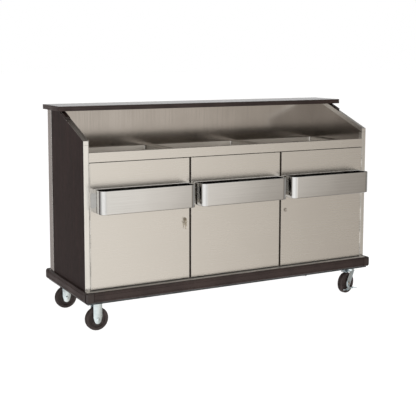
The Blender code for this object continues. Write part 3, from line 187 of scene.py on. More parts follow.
def surfaced(
    tree: Tree,
    tones: Sequence[tuple[Node, float]],
    stops: tuple[tuple[float, str], ...],
    wear: Node | None,
    values: Point,
    roughness: Point,
) -> dict[str, Node]:
    """Turn patterns into the colour and the roughness of a surface.

    Args:
        tree: the material's nodes.
        tones: patterns that the colour follows, each with its weight.
        stops: hex colour for some values of their sum.
        wear: pattern that the roughness follows. Without one it follows that sum.
        values: two values of that pattern.
        roughness: roughness at these two.

    Returns:
        The last node for each of the shader's sockets.
    """
    mixed: Any = 0.0
    for pattern, weight in tones:
        mixed = add_node(
            tree, "ShaderNodeMath", {"operation": "MULTIPLY_ADD"}, {0: pattern, 1: weight, 2: mixed}
        )
    colour = add_node(tree, "ShaderNodeValToRGB", {"stops": stops}, {"Fac": mixed})
    rough = add_node(tree, "ShaderNodeMapRange", inputs={
        "Value": wear or mixed, "From Min": values[0], "From Max": values[1],
        "To Min": roughness[0], "To Max": roughness[1],
    })
    return {"Base Color": colour, "Roughness": rough}


@dataclass(frozen=True)
class Finish:
    """Surface of one real material.

    Attributes:
        name: plain name of the finish.
        slot: the record's material slot that it belongs to. Nothing in the script reads it.
        roughness: roughness of the surface at its middle.
        metallic: 1 for bare metal, 0 for everything else.
        shine: strength of the mirror part, 0.5 for a clean smooth plastic and less for a dull one.
    """

    name: str
    slot: str
    roughness: float
    metallic: float = 0.0
    shine: float = 0.5

    @functools.cache
    def material(self) -> bpy.types.Material:
        """Make the material the first time, and give the same one after that.

        Returns:
            The material.
        """
        made = bpy.data.materials.new(self.name)
        made.use_nodes = True
        tree = made.node_tree
        shader = tree.nodes["Principled BSDF"]
        shader.inputs["Roughness"].default_value = self.roughness
        shader.inputs["Metallic"].default_value = self.metallic
        shader.inputs["Specular IOR Level"].default_value = self.shine
        place = add_node(tree, "ShaderNodeTexCoord").outputs["Object"]
        for socket, last in self.pattern(tree, place).items():
            tree.links.new(last.outputs[0], shader.inputs[socket])
        return made

    def pattern(self, tree: Tree, place: bpy.types.NodeSocket) -> dict[str, Node]:
        """Draw the pattern of the finish.

        Args:
            tree: the material's nodes.
            place: object coordinates, in metres.

        Returns:
            The last node for each of the shader's sockets that the pattern reaches.
        """
        raise NotImplementedError

    def either_side(self, spread: float) -> Point:
        """Roughness half a spread below and above the middle."""
        return (self.roughness - spread / 2, self.roughness + spread / 2)


@dataclass(frozen=True)
class BrushedSheet(Finish):
    """Stainless sheet with a number 4 brushed face.

    The brush lines of the real sheet are about 0.2 mm apart, too fine for the render, so they are
    drawn about 2.6 mm apart. Wide soft clouds stand for handling and uneven rolling.

    Attributes:
        dark: colour in the brush lines.
        light: colour between them.
        grain: direction of the lines.
        spread: how far the roughness wanders.
        relief: depth of the lines for the bump, in metres.
        lines_share: weight of the lines against the clouds.
    """

    dark: str = "CDC9C3"
    light: str = "D0CCC6"
    grain: Grain = Grain.LENGTHWISE
    spread: float = 0.02
    relief: float = 0.0000012
    lines_share: float = 0.55

    def pattern(self, tree: Tree, place: bpy.types.NodeSocket) -> dict[str, Node]:
        """Draw brush lines and clouds in colour and roughness, and the lines in the bump.

        Args:
            tree: the material's nodes.
            place: object coordinates, in metres.

        Returns:
            The last node for each of the shader's sockets that the pattern reaches.
        """
        drawn = add_node(
            tree, "ShaderNodeMapping", inputs={"Vector": place, "Scale": self.grain.value}
        )
        lines = add_node(
            tree, "ShaderNodeTexNoise",
            inputs={"Vector": drawn, "Scale": 1.0, "Detail": 3.0, "Roughness": 0.6},
        )
        clouds = add_node(
            tree, "ShaderNodeTexNoise",
            inputs={"Vector": place, "Scale": 4.5, "Detail": 2.0, "Roughness": 0.5},
        )
        ends = surfaced(
            tree, ((lines, self.lines_share), (clouds, 1.0 - self.lines_share)),
            ((0.36, self.dark), (0.64, self.light)),
            None, (0.3, 0.7), self.either_side(self.spread),
        )
        ends["Normal"] = add_node(
            tree, "ShaderNodeBump",
            inputs={"Height": lines, "Strength": 1.0, "Distance": self.relief},
        )
        return ends


@dataclass(frozen=True)
class WoodLaminate(Finish):
    """High-pressure laminate printed with a dark wood grain, with a fine pressed texture.

    Attributes:
        deep: colour of the pores and dark bands.
        body: colour between.
        pale: colour of the light streaks.
        stretch: how fine the grain is along X, Y and Z.
        pore_fineness: how many times finer the pores are than the streaks.
        pore_share: weight of the pores against the streaks.
        pore_roughness: how much rougher the pores are, and how much smoother the face between.
        relief: depth of the pores for the bump, in metres.
    """

    deep: str = "0E0706"
    body: str = "1D100E"
    pale: str = "2F1E1B"
    stretch: Point3 = (95.0, 95.0, 3.2)
    pore_fineness: float = 6.5
    pore_share: float = 0.3
    pore_roughness: Point = (0.06, 0.04)
    relief: float = 0.00006

    def pattern(self, tree: Tree, place: bpy.types.NodeSocket) -> dict[str, Node]:
        """Draw streaks about 10 mm wide with pores about 1.5 mm wide, along the grain.

        Args:
            tree: the material's nodes.
            place: object coordinates, in metres.

        Returns:
            The last node for each of the shader's sockets that the pattern reaches.
        """
        drawn = add_node(
            tree, "ShaderNodeMapping", inputs={"Vector": place, "Scale": self.stretch}
        )
        streaks = add_node(tree, "ShaderNodeTexNoise", inputs={
            "Vector": drawn, "Scale": 1.0, "Detail": 6.0, "Roughness": 0.62, "Distortion": 0.35,
        })
        fine = tuple(self.pore_fineness * along for along in self.stretch)
        drawn_fine = add_node(
            tree, "ShaderNodeMapping", inputs={"Vector": place, "Scale": fine}
        )
        pores = add_node(
            tree, "ShaderNodeTexNoise", inputs={"Vector": drawn_fine, "Scale": 1.0, "Detail": 2.0}
        )
        more, less = self.pore_roughness
        ends = surfaced(
            tree, ((pores, self.pore_share), (streaks, 1.0 - self.pore_share)),
            ((0.36, self.deep), (0.50, self.body), (0.66, self.pale)),
            pores, (0.3, 0.7), (self.roughness + more, self.roughness - less),
        )
        ends["Normal"] = add_node(
            tree, "ShaderNodeBump",
            inputs={"Height": pores, "Strength": 1.0, "Distance": self.relief},
        )
        return ends


@dataclass(frozen=True, kw_only=True)
class SpeckledFinish(Finish):
    """Moulded, cast, plated or pressed surface with a fine grain and soft wear.

    Attributes:
        dark: colour in the hollows of the grain.
        light: colour on its peaks and where it is rubbed.
        grain_size: width of the grain, in metres.
        wear_size: width of the rubbed patches, in metres.
        relief: depth of the grain for the bump, in metres.
        spread: how far the roughness wanders.
        grain_share: weight of the grain against the wear.
    """

    dark: str
    light: str
    grain_size: float = 0.0012
    wear_size: float = 0.09
    relief: float = 0.00005
    spread: float = 0.12
    grain_share: float = 0.35

    def pattern(self, tree: Tree, place: bpy.types.NodeSocket) -> dict[str, Node]:
        """Draw grain and wear in colour, wear in roughness, and grain in the bump.

        Args:
            tree: the material's nodes.
            place: object coordinates, in metres.

        Returns:
            The last node for each of the shader's sockets that the pattern reaches.
        """
        grain = add_node(tree, "ShaderNodeTexNoise", inputs={
            "Vector": place, "Scale": 1.0 / self.grain_size, "Detail": 2.0, "Roughness": 0.6,
        })
        wear = add_node(tree, "ShaderNodeTexNoise", inputs={
            "Vector": place, "Scale": 1.0 / self.wear_size, "Detail": 5.0, "Roughness": 0.65,
        })
        smooth, rough = self.either_side(self.spread)
        ends = surfaced(
            tree, ((grain, self.grain_share), (wear, 1.0 - self.grain_share)),
            ((0.38, self.dark), (0.64, self.light)), wear, (0.35, 0.65), (rough, smooth),
        )
        ends["Normal"] = add_node(
            tree, "ShaderNodeBump",
            inputs={"Height": grain, "Strength": 1.0, "Distance": self.relief},
        )
        return ends


@dataclass(frozen=True)
class SpangledZinc(Finish):
    """Zinc coating whose crystals show as flat patches of slightly different brightness.

    Attributes:
        dark: darkest crystals.
        light: brightest crystals.
        crystal: width of a crystal, in metres.
        spread: how far the roughness wanders.
    """

    dark: str = "4C5052"
    light: str = "686C6E"
    crystal: float = 0.012
    spread: float = 0.16

    def pattern(self, tree: Tree, place: bpy.types.NodeSocket) -> dict[str, Node]:
        """Draw crystals in colour and roughness.

        Args:
            tree: the material's nodes.
            place: object coordinates, in metres.

        Returns:
            The last node for each of the shader's sockets that the pattern reaches.
        """
        crystals = add_node(
            tree, "ShaderNodeTexVoronoi", inputs={"Vector": place, "Scale": 1.0 / self.crystal}
        ).outputs["Color"]
        tone = add_node(tree, "ShaderNodeSeparateColor", inputs={"Color": crystals})
        smooth, rough = self.either_side(self.spread)
        return surfaced(
            tree, ((tone, 1.0),), ((0.0, self.dark), (1.0, self.light)),
            tone, (0.0, 1.0), (rough, smooth),
        )


# Stainless sheet brushed lengthwise: an even warm grey with soft, faintly streaked reflections.
STAINLESS = BrushedSheet("brushed_stainless_sheet", "brushed_stainless", 0.27, 1.0)
# The same sheet on the narrow upright pieces, brushed along them.
STAINLESS_UPRIGHT = BrushedSheet(
    "brushed_stainless_strip", "brushed_stainless", 0.24, 1.0,
    dark="CFCDC9", light="DEDCD8", grain=Grain.UPRIGHT,
)
# Sheet of the pans, brushed front to back and dulled by washing.
STAINLESS_PAN = BrushedSheet(
    "brushed_stainless_pan", "brushed_stainless", 0.36, 1.0,
    dark="B2ADA6", light="C6C1BA", grain=Grain.FRONT_TO_BACK,
)
# The ledge round the base is rubbed dull by shoes and mops, so it scatters the light above it. Its
# near-white colour, lighter than the other sheet, is painted light falling on it from above.
STAINLESS_LEDGE_LIT = BrushedSheet(
    "scuffed_stainless_ledge", "brushed_stainless", 0.62, 1.0, dark="D2CEC8", light="E6E3DE",
)
# Sheet inside the case, left as it came from the mill: dull. Its dark colour is painted shade, the
# shadow deep in the narrow gap between the doors where the partitions show.
STAINLESS_PARTITION_SHADE = BrushedSheet(
    "mill_finish_stainless", "brushed_stainless", 0.50, 1.0,
    dark="4A4440", light="5E5752", grain=Grain.UPRIGHT,
)
# Liner of the case: smoother sheet, which shows the blurred picture of what stands before it.
STAINLESS_LINER = BrushedSheet(
    "bright_stainless_liner", "brushed_stainless", 0.16, 1.0,
    dark="9A948E", light="A8A29C", grain=Grain.UPRIGHT, relief=0.000005,
)
# Rails are polished after rolling, so their rounded corners flash white.
STAINLESS_RAIL = BrushedSheet(
    "polished_stainless_rail", "brushed_stainless", 0.11, 1.0,
    dark="BEBDBB", light="C8C7C5", spread=0.04,
)
# Espresso laminate of the case: dark brown upright wood grain under a satin face.
CASE_LAMINATE = WoodLaminate("espresso_laminate", "dark_laminate", 0.50, shine=0.25)
# Bar top laminate: nearly black, smoother, grain lengthwise.
TOP_LAMINATE = WoodLaminate(
    "black_satin_laminate", "top_laminate", 0.26,
    deep="1D1717", body="282121", pale="342C2B", stretch=(3.0, 90.0, 90.0),
)
# Extruded vinyl of the bumper and edging: matt dark brown-black, rubbed lighter in places.
VINYL = SpeckledFinish(
    "extruded_black_vinyl", "black_vinyl", 0.36, shine=0.36,
    dark="211614", light="332623", wear_size=0.16,
)
# Moulded corners and blocks: the same black, finer and slightly glossier.
MOULDED = SpeckledFinish(
    "moulded_black_plastic", "black_plastic", 0.38,
    dark="1C1210", light="2C201D", grain_size=0.0009,
)
# Solid rubber tyres: dull black with a dusty, scuffed tread.
TYRE_RUBBER = SpeckledFinish(
    "solid_black_rubber", "black_rubber", 0.62, shine=0.35,
    dark="241C1A", light="3E3432", wear_size=0.035,
)
# Wheel centres: moulded hard plastic, smoother than the tyre. Their near-black colour is partly the
# black plastic and partly painted shade in the sunk centre.
WHEEL_CENTRE_SHADE = SpeckledFinish(
    "moulded_wheel_centre", "black_rubber", 0.42, shine=0.12,
    dark="0A0706", light="160F0D", wear_size=0.05,
)
# Bright zinc plate on steel pressings: a cold light blue-white metal.
ZINC = SpeckledFinish(
    "bright_zinc_plate", "zinc_plate", 0.30, 1.0, dark="C6D2D6", light="E2EBEE",
    grain_size=0.002, wear_size=0.03, relief=0.00001, spread=0.10,
)
# Cast and tumbled zinc of the locks: greyer than plate.
CAST_ZINC = SpeckledFinish(
    "nickelled_zinc_casting", "zinc_plate", 0.18, 1.0, dark="8A847E", light="C8C2BA",
    wear_size=0.01, relief=0.000005, spread=0.08,
)
# Hot-dip galvanised base frame, with visible crystals.
GALVANISED = SpangledZinc("galvanised_steel_section", "galvanised_steel", 0.60, 1.0)
# Cut faces of rigid foam: pale, with open cells.
FOAM = SpeckledFinish(
    "rigid_insulating_foam", "insulating_foam", 0.85, dark="C9C3AE", light="E0DBCB",
    grain_size=0.004, relief=0.0004, spread=0.06,
)
# Keys of nickelled brass, handled until the plating dulls: silver, a little warm.
KEY_NICKEL = SpeckledFinish(
    "nickelled_brass_key", "brass", 0.25, 1.0, dark="7A7060", light="D8D0C0",
    wear_size=0.006, relief=0.000005,
)
# Brass of the valve, slightly dull.
BRASS = SpeckledFinish(
    "handled_brass", "brass", 0.28, 1.0, dark="9C8448", light="C4AC6C",
    wear_size=0.02, relief=0.00001, spread=0.14,
)


def dress(node: str, finish: Finish) -> None:
    """Give a CAD node its finish.

    Args:
        node: name of the node.
        finish: what it is made of.
    """
    kept = bpy.data.objects[node]
    kept.data.materials.clear()
    kept.data.materials.append(finish.material())


def placed(name: str, data: bpy.types.ID) -> bpy.types.Object:
    """Put a mesh, lamp or camera into the scene as a new object.

    Args:
        name: name of the object.
        data: the mesh, lamp or camera.

    Returns:
        The object.
    """
    made = bpy.data.objects.new(name, data)
    bpy.context.scene.collection.objects.link(made)
    return made


def finished(
    name: str, mesh: Mesh, finishes: Sequence[Finish], body: str, node: str
) -> None:
    """Put a finished mesh into the scene as the visible piece of a CAD node.

    Args:
        name: name of the piece.
        mesh: its mesh, already in its place.
        finishes: finishes in the order of the mesh's material numbers.
        body: body that it moves with.
        node: CAD node that it stands for.
    """
    made = placed(name, mesh)
    mesh.materials.clear()
    for finish in finishes:
        mesh.materials.append(finish.material())
    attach(made, body)
    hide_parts(node)
    LOG.info("%s: %d faces", name, len(mesh.polygons))


def baked(shape: bpy.types.Object) -> Mesh:
    """Turn an object with live modifiers into a plain mesh, and remove the object.

    Args:
        shape: object with its modifiers set.

    Returns:
        The evaluated mesh.
    """
    graph = bpy.context.evaluated_depsgraph_get()
    mesh = bpy.data.meshes.new_from_object(
        shape.evaluated_get(graph), preserve_all_data_layers=True, depsgraph=graph
    )
    spent = shape.data
    bpy.data.objects.remove(shape)
    bpy.data.meshes.remove(spent)
    return mesh


def mesh_of(bm: Shape) -> Mesh:
    """Turn a mesh in the making into a mesh.

    Args:
        bm: the mesh in the making, which is freed.

    Returns:
        The mesh.
    """
    mesh = bpy.data.meshes.new("shape")
    bm.to_mesh(mesh)
    bm.free()
    return mesh


def smooth_mesh(bm: Shape, angle: float) -> Mesh:
    """Turn a mesh in the making into a mesh that is smooth but for its sharp edges.

    Args:
        bm: the mesh in the making.
        angle: edges over this many degrees stay sharp.

    Returns:
        The mesh.
    """
    mesh = mesh_of(bm)
    mesh.shade_smooth()
    mesh.set_sharp_from_angle(angle=math.radians(angle))
    return mesh


def eased(bm: Shape, width: float, steps: int = 2) -> Mesh:
    """Round the sharp edges of a closed shape, as folding, moulding or sanding does.

    Args:
        bm: closed shape with merged corners.
        width: width of the rounding, in metres.
        steps: facets across the rounding.

    Returns:
        The eased mesh, shaded so that its flat faces stay flat.
    """
    shape = placed("shape", mesh_of(bm))
    bevel = shape.modifiers.new("ease", "BEVEL")
    bevel.width = width
    bevel.segments = steps
    bevel.limit_method = "ANGLE"
    bevel.angle_limit = math.radians(EASE_FROM)
    bevel.use_clamp_overlap = True
    mesh = baked(shape)
    mesh.shade_smooth()
    mesh.set_sharp_from_angle(angle=math.radians(EASED_SHARP))
    for face in mesh.polygons:
        face.use_smooth = face.area < FLAT_FACE
    return mesh


def merged_copy(node: str) -> Shape:
    """Copy a CAD node's loose triangles into one closed shape with flat faces joined up.

    Args:
        node: name of the node.

    Returns:
        The shape, to be freed by the caller.
    """
    source = bpy.data.objects[node].data
    bm = bmesh.new()
    points = [bm.verts.new(vertex.co) for vertex in source.vertices]
    for face in source.polygons:
        bm.faces.new([points[number] for number in face.vertices])
    bmesh.ops.remove_doubles(bm, verts=bm.verts, dist=NODE_MERGE)
    bmesh.ops.dissolve_limit(
        bm, angle_limit=math.radians(ONE_PLANE), verts=bm.verts, edges=bm.edges
    )
    return bm


def ease_node(node: str, finish: Finish, width: float, steps: int = 2) -> None:
    """Replace a CAD node by a copy of itself with eased edges.

    Args:
        node: name of the node.
        finish: its surface.
        width: width of the easing, in metres.
        steps: facets across the easing.
    """
    name = f"{node}_sheet" if finish.metallic else f"{node}_board"
    body = bpy.data.objects[node]["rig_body"]
    finished(name, eased(merged_copy(node), width, steps), [finish], body, node)


def lathe(profile: Sequence[Point], steps: int, axis: Vector, centre: Vector) -> Shape:
    """Turn a closed profile of (radius, height) points round an axis.

    Args:
        profile: points in order, without the first one again at the end.
        steps: facets round the axis.
        axis: direction of the axis.
        centre: point on the axis at height 0.

    Returns:
        The closed solid of revolution, faces outwards.
    """
    bm = bmesh.new()
    turns = [2 * math.pi * step / steps for step in range(steps)]
    rings = []
    for radius, height in profile:
        spots = [(radius * math.cos(turn), radius * math.sin(turn), height) for turn in turns]
        if radius < ON_AXIS:
            spots = [(0.0, 0.0, height)]
        rings.append([bm.verts.new(spot) for spot in spots])
    for ring, after in zip(rings, rings[1:] + rings[:1]):
        if len(ring) == len(after) == 1:
            continue
        for step in range(steps):
            beyond = (step + 1) % steps
            corners = (
                ring[step % len(ring)], after[step % len(after)],
                after[beyond % len(after)], ring[beyond % len(ring)],
            )
            bm.faces.new(list(dict.fromkeys(corners)))
    turn = UP.rotation_difference(axis).to_matrix().to_4x4()
    bmesh.ops.transform(bm, matrix=Matrix.Translation(centre) @ turn, verts=bm.verts)
    bmesh.ops.recalc_face_normals(bm, faces=bm.faces)
    return bm


def stacked(levels: Sequence[Sequence[Vector]], capped: bool = True) -> Shape:
    """Lay a skin over loops that lie one after another.

    Args:
        levels: loops of the same number of points.
        capped: whether a face closes each end. Without them the last loop is the first again.

    Returns:
        The closed shape, faces outwards.
    """
    bm = bmesh.new()
    rings = [[bm.verts.new(point) for point in level] for level in levels]
    count = len(rings[0])
    for ring, after in zip(rings, rings[1:]):
        for step in range(count):
            beyond = (step + 1) % count
            bm.faces.new((ring[step], ring[beyond], after[beyond], after[step]))
    if capped:
        bm.faces.new(rings[0])
        bm.faces.new(rings[-1])
    bmesh.ops.remove_doubles(bm, verts=bm.verts, dist=MERGE)
    bmesh.ops.recalc_face_normals(bm, faces=bm.faces)
    return bm


def pushed(outline: Sequence[Vector], way: Vector) -> Shape:
    """Push a flat outline along a way into a closed solid."""
    return stacked([list(outline), [point + way for point in outline]])


def joined(parts: Sequence[tuple[Shape, int]]) -> Shape:
    """Gather several closed shapes into one mesh, each with its material number.

    Args:
        parts: the shapes, which are freed, with their numbers.

    Returns:
        The one shape.
    """
    whole = bmesh.new()
    for part, number in parts:
        for face in part.faces:
            face.material_index = number
        scrap = mesh_of(part)
        whole.from_mesh(scrap)
        bpy.data.meshes.remove(scrap)
    return whole


def arc(centre: Point, radius: float, start: float, sweep: float, steps: int) -> list[Point]:
    """Points along an arc.

    Args:
        centre: middle of the arc.
        radius: its radius.
        start: first angle, in degrees.
        sweep: angle that it covers, in degrees.
        steps: number of chords.

    Returns:
        The points, both ends included.
    """
    turns = [math.radians(start + sweep * step / steps) for step in range(steps + 1)]
    return [(centre[0] + radius * math.cos(t), centre[1] + radius * math.sin(t)) for t in turns]


def rounded_loop(
    x: Point, y: Point, z: float, front: float, back: float, steps: int, inset: float = 0.0
) -> list[Vector]:
    """Rectangular loop at one height, with rounded corners.

    Args:
        x: ends of the rectangle along X.
        y: its front and back along Y.
        z: its height.
        front: radius of the two front corners.
        back: radius of the two back corners.
        steps: chords across a rounded corner.
        inset: how far the loop stays within the rectangle.

    Returns:
        The loop's points.
    """
    left, right, low, high = x[0] + inset, x[1] - inset, y[0] + inset, y[1] - inset
    corners = (
        (right, low, -1, 1, front, 270), (right, high, -1, -1, back, 0),
        (left, high, 1, -1, back, 90), (left, low, 1, 1, front, 180),
    )
    points: list[Vector] = []
    for corner_x, corner_y, way_x, way_y, radius, start in corners:
        kept = max(radius, SQUARE)
        centre = (corner_x + way_x * kept, corner_y + way_y * kept)
        points += [Vector((px, py, z)) for px, py in arc(centre, kept, start, 90, steps)]
    return points


def new_tree(name: str, sockets: dict[str, str]) -> tuple[Tree, bpy.types.NodeOutputs]:
    """Start a tree of geometry nodes.

    Args:
        name: name of the tree.
        sockets: names of its inputs, with the type of each.

    Returns:
        The tree, and what it is given.
    """
    tree = bpy.data.node_groups.new(name, "GeometryNodeTree")
    for socket, kind in sockets.items():
        tree.interface.new_socket(socket, in_out="INPUT", socket_type=f"NodeSocket{kind}")
    tree.interface.new_socket("Piece", in_out="OUTPUT", socket_type="NodeSocketGeometry")
    return tree, add_node(tree, "NodeGroupInput").outputs


def end_tree(tree: Tree, made: Node, finish: bpy.types.NodeSocket) -> Tree:
    """End a tree: what was made becomes plain faces and gets its finish.

    Args:
        tree: the nodes.
        made: node whose first output is the shape.
        finish: the material that the tree is given.

    Returns:
        The tree.
    """
    real = add_node(tree, "GeometryNodeRealizeInstances", inputs={"Geometry": made})
    inputs = {"Geometry": real, "Material": finish}
    faced = add_node(tree, "GeometryNodeSetMaterial", inputs=inputs)
    add_node(tree, "NodeGroupOutput", inputs={"Piece": faced})
    return tree


@functools.cache
def sweep_tree() -> Tree:
    """Nodes that lead a closed outline along every line of the mesh that they are given.

    Returns:
        The tree, made the first time and the same one after that.
    """
    tree, given = new_tree(
        "extrusion_along_lines", {"Lines": "Geometry", "Outline": "Object", "Finish": "Material"}
    )
    outline = add_node(
        tree, "GeometryNodeObjectInfo", {"transform_space": "ORIGINAL"},
        {"Object": given["Outline"]},
    ).outputs["Geometry"]
    profile = add_node(tree, "GeometryNodeMeshToCurve", inputs={"Mesh": outline})
    path = add_node(tree, "GeometryNodeMeshToCurve", inputs={"Mesh": given["Lines"]})
    level = add_node(tree, "GeometryNodeSetCurveNormal", {"mode": "Z_UP"}, {"Curve": path})
    swept = add_node(
        tree, "GeometryNodeCurveToMesh",
        inputs={"Curve": level, "Profile Curve": profile, "Fill Caps": True},
    )
    return end_tree(tree, swept, given["Finish"])


@functools.cache
def repeat_tree() -> Tree:
    """Nodes that set one part on every point of the mesh that they are given.

    Returns:
        The tree, made the first time and the same one after that.
    """
    tree, given = new_tree("part_on_each_point", {
        "Points": "Geometry", "Part": "Object", "Finish": "Material",
        "Largest Turn": "Float", "Seed": "Int",
    })
    tree.interface.items_tree["Largest Turn"].subtype = "ANGLE"
    part = add_node(
        tree, "GeometryNodeObjectInfo", {"transform_space": "ORIGINAL"}, {"Object": given["Part"]}
    ).outputs["Geometry"]
    turned = add_node(
        tree, "FunctionNodeRandomValue", {"data_type": "FLOAT"},
        {2: 0.0, 3: given["Largest Turn"], "Seed": given["Seed"]},
    )
    angle = add_node(tree, "ShaderNodeCombineXYZ", inputs={"Z": turned.outputs[1]})
    repeated = add_node(
        tree, "GeometryNodeInstanceOnPoints",
        inputs={"Points": given["Points"], "Instance": part, "Rotation": angle},
    )
    return end_tree(tree, repeated, given["Finish"])


def grown(start: Mesh, tree: Tree, helper: Mesh, values: dict[str, Any]) -> Shape:
    """Run a node tree on a mesh.

    Args:
        start: lines or points that the tree starts from.
        tree: the geometry nodes.
        helper: mesh of the outline or part that the tree's object input names.
        values: values of the tree's other inputs by name.

    Returns:
        The resulting shape, faces outwards.
    """
    carrier, model = placed("carrier", start), placed("model", helper)
    modifier = carrier.modifiers.new("nodes", "NODES")
    modifier.node_group = tree
    for item in tree.interface.items_tree:
        if item.in_out != "INPUT" or item.socket_type == "NodeSocketGeometry":
            continue
        given = model if item.socket_type == "NodeSocketObject" else values[item.name]
        modifier[item.identifier] = given
    shape = loaded(baked(carrier))
    bpy.data.objects.remove(model)
    bpy.data.meshes.remove(helper)
    return shape


def lines_mesh(loops: Sequence[Sequence[Sequence[float]]], closed: bool) -> Mesh:
    """Mesh of lines only: one run of edges for each list of points.

    Args:
        loops: the lists of points.
        closed: whether each run ends where it starts.

    Returns:
        The mesh.
    """
    points: list[Point3] = []
    edges: list[tuple[int, int]] = []
    for loop in loops:
        first = len(points)
        points += [tuple(point) for point in loop]
        edges += [(first + n, first + n + 1) for n in range(len(loop) - 1)]
        if closed:
            edges.append((first + len(loop) - 1, first))
    mesh = bpy.data.meshes.new("lines")
    mesh.from_pydata(points, edges, [])
    return mesh


def extruded(
    lines: Sequence[Sequence[Sequence[float]]], closed: bool, section: Sequence[Point]
) -> Shape:
    """Extrude black vinyl along lines.

    Args:
        lines: points of each line.
        closed: whether each line ends where it starts.
        section: outline as (reach outwards, height) points.

    Returns:
        The closed solids, faces outwards.
    """
    outline = [(reach, -up, 0.0) for reach, up in section]
    values = {"Finish": VINYL.material()}
    return grown(lines_mesh(lines, closed), sweep_tree(), lines_mesh([outline], True), values)


def loaded(mesh: Mesh) -> Shape:
    """Load a mesh for joining, with its faces turned outwards.

    Args:
        mesh: the mesh, which is removed.

    Returns:
        The shape.
    """
    bm = bmesh.new()
    bm.from_mesh(mesh)
    bpy.data.meshes.remove(mesh)
    bmesh.ops.recalc_face_normals(bm, faces=bm.faces)
    return bm


@dataclass(frozen=True)
class Plinth:
    """Base frame, the sheet over it, and the bumper with its moulded corners.

    Attributes:
        pan_edge: rounding of the sheet's edges.
        nose: rounding of the bumper's outer edges.
        groove: section of a moulded line along the bumper, as (height, depth) points.
        groove_places: middles of the two lines, as shares of its height.
        leg: length of a corner piece along each wall.
        corner_radius: outer radius of a corner piece.
        web: thickness of the web behind the corner pieces.
        web_corner: radius of its front corners.
        inset: how far the web stays within the runs' height, top and bottom.
        gap: room between pieces that touch.
        seam: open joint between a run and a corner piece.
    """

    pan_edge: float = 0.0012
    nose: float = 0.013
    groove: Profile = ((-0.0016, 0.0), (-0.0008, 0.0016), (0.0008, 0.0016), (0.0016, 0.0))
    groove_places: Point = (0.27, 0.73)
    leg: float = 0.0457
    corner_radius: float = 0.022
    web: float = 0.003
    web_corner: float = 0.001
    inset: float = 0.008
    gap: float = 0.0003
    seam: float = 0.0012

    def build(self) -> None:
        """Dress the plinth and make its bumper."""
        dress("base_frame", GALVANISED)
        # The base sheet's lighter colour is painted light, for the light that falls on its ledge
        # from above.
        ease_node("base_pan", STAINLESS_LEDGE_LIT, self.pan_edge)
        self.bumper()
        for side in Side:
            for end in End:
                self.corner(side, end)

    def outline(self, thickness: float, height: float, grooved: bool) -> list[Point]:
        """Section of the bumper from its flat back: reach outwards, and height.

        Args:
            thickness: how far the bumper reaches from its back.
            height: its height.
            grooved: whether it has grooves, as the runs have and the corners don't.

        Returns:
            The section's points, in turn.
        """
        points = [(0.0, 0.0)]
        points += arc((thickness - self.nose, self.nose), self.nose, 270, 90, 6)
        for share in self.groove_places if grooved else ():
            points += [(thickness - depth, height * share + up) for up, depth in self.groove]
        points += arc((thickness - self.nose, height - self.nose), self.nose, 0, 90, 6)
        return points + [(0.0, height)]

    def bumper(self) -> None:
        """Four extruded runs, on a web that goes right round under the corner pieces."""
        low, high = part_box("bumper")
        wall_low, wall_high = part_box("base_pan")
        thickness = wall_low.x - self.gap - low.x
        height = high.z - low.z
        end_x, end_y = high.x - self.leg - self.seam, high.y - self.leg - self.seam
        face_x, face_y = wall_high.x + self.gap, wall_high.y + self.gap
        front_y, front_end = wall_low.y - self.gap, low.y + self.leg + self.seam
        runs = [[(*start, low.z), (*stop, low.z)] for start, stop in (
            ((-end_x, front_y), (end_x, front_y)), ((face_x, front_end), (face_x, end_y)),
            ((end_x, face_y), (-end_x, face_y)), ((-face_x, end_y), (-face_x, front_end)),
        )]
        swept = extruded(runs, False, self.outline(thickness, height, True))
        inner, outer = (
            rounded_loop(
                (-face_x, face_x), (front_y, face_y), low.z + self.inset,
                self.web_corner, 0.0, 8, -out,
            )
            for out in (0.0, self.web)
        )
        tall = Vector((0.0, 0.0, height - 2 * self.inset))
        ring = [inner, outer, [p + tall for p in outer], [p + tall for p in inner], inner]
        whole = joined([(swept, 0), (stacked(ring, capped=False), 0)])
        finished("bumper_extrusion", smooth_mesh(whole, angle=28.0), [VINYL], "cabinet", "bumper")

    def corner(self, side: Side, end: End) -> None:
        """Corner piece: the bumper's section led round a rounded corner.

        Args:
            side: the left or right corner.
            end: the front or rear corner.
        """
        node = f"bumper_corner_{end.word}_{side.word}"
        low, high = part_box(node)
        wall_low, wall_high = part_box("base_pan")
        skin = self.web + 2 * self.gap
        inner_x = wall_high.x + skin
        middle_y = (wall_low.y + wall_high.y) / 2
        inner_y = (wall_high.y - wall_low.y) / 2 + skin
        thickness = max(abs(low.x), abs(high.x)) - inner_x
        leg = high.x - low.x - thickness
        # Each station: where the section stands, which way it faces, and how far it reaches.
        stations = [((-leg, 0.0), (0.0, 1.0), thickness), ((0.0, 0.0), (0.0, 1.0), thickness)]
        centre = thickness - self.corner_radius
        for out_x, out_y in arc((centre, centre), self.corner_radius, 90, -90, 14)[1:-1]:
            reach = math.hypot(out_x, out_y)
            stations.append(((0.0, 0.0), (out_x / reach, out_y / reach), reach))
        stations += [((0.0, 0.0), (1.0, 0.0), thickness), ((0.0, -leg), (1.0, 0.0), thickness)]
        levels = [
            [
                Vector((
                    side.value * (inner_x + base[0] + way[0] * out / thickness * reach),
                    middle_y + end.value * (inner_y + base[1] + way[1] * out / thickness * reach),
                    low.z + up,
                ))
                for out, up in self.outline(thickness, high.z - low.z, False)
            ]
            for base, way, reach in stations
        ]
        mesh = smooth_mesh(stacked(levels), angle=40.0)
        finished(f"{node}_moulding", mesh, [MOULDED], "cabinet", node)


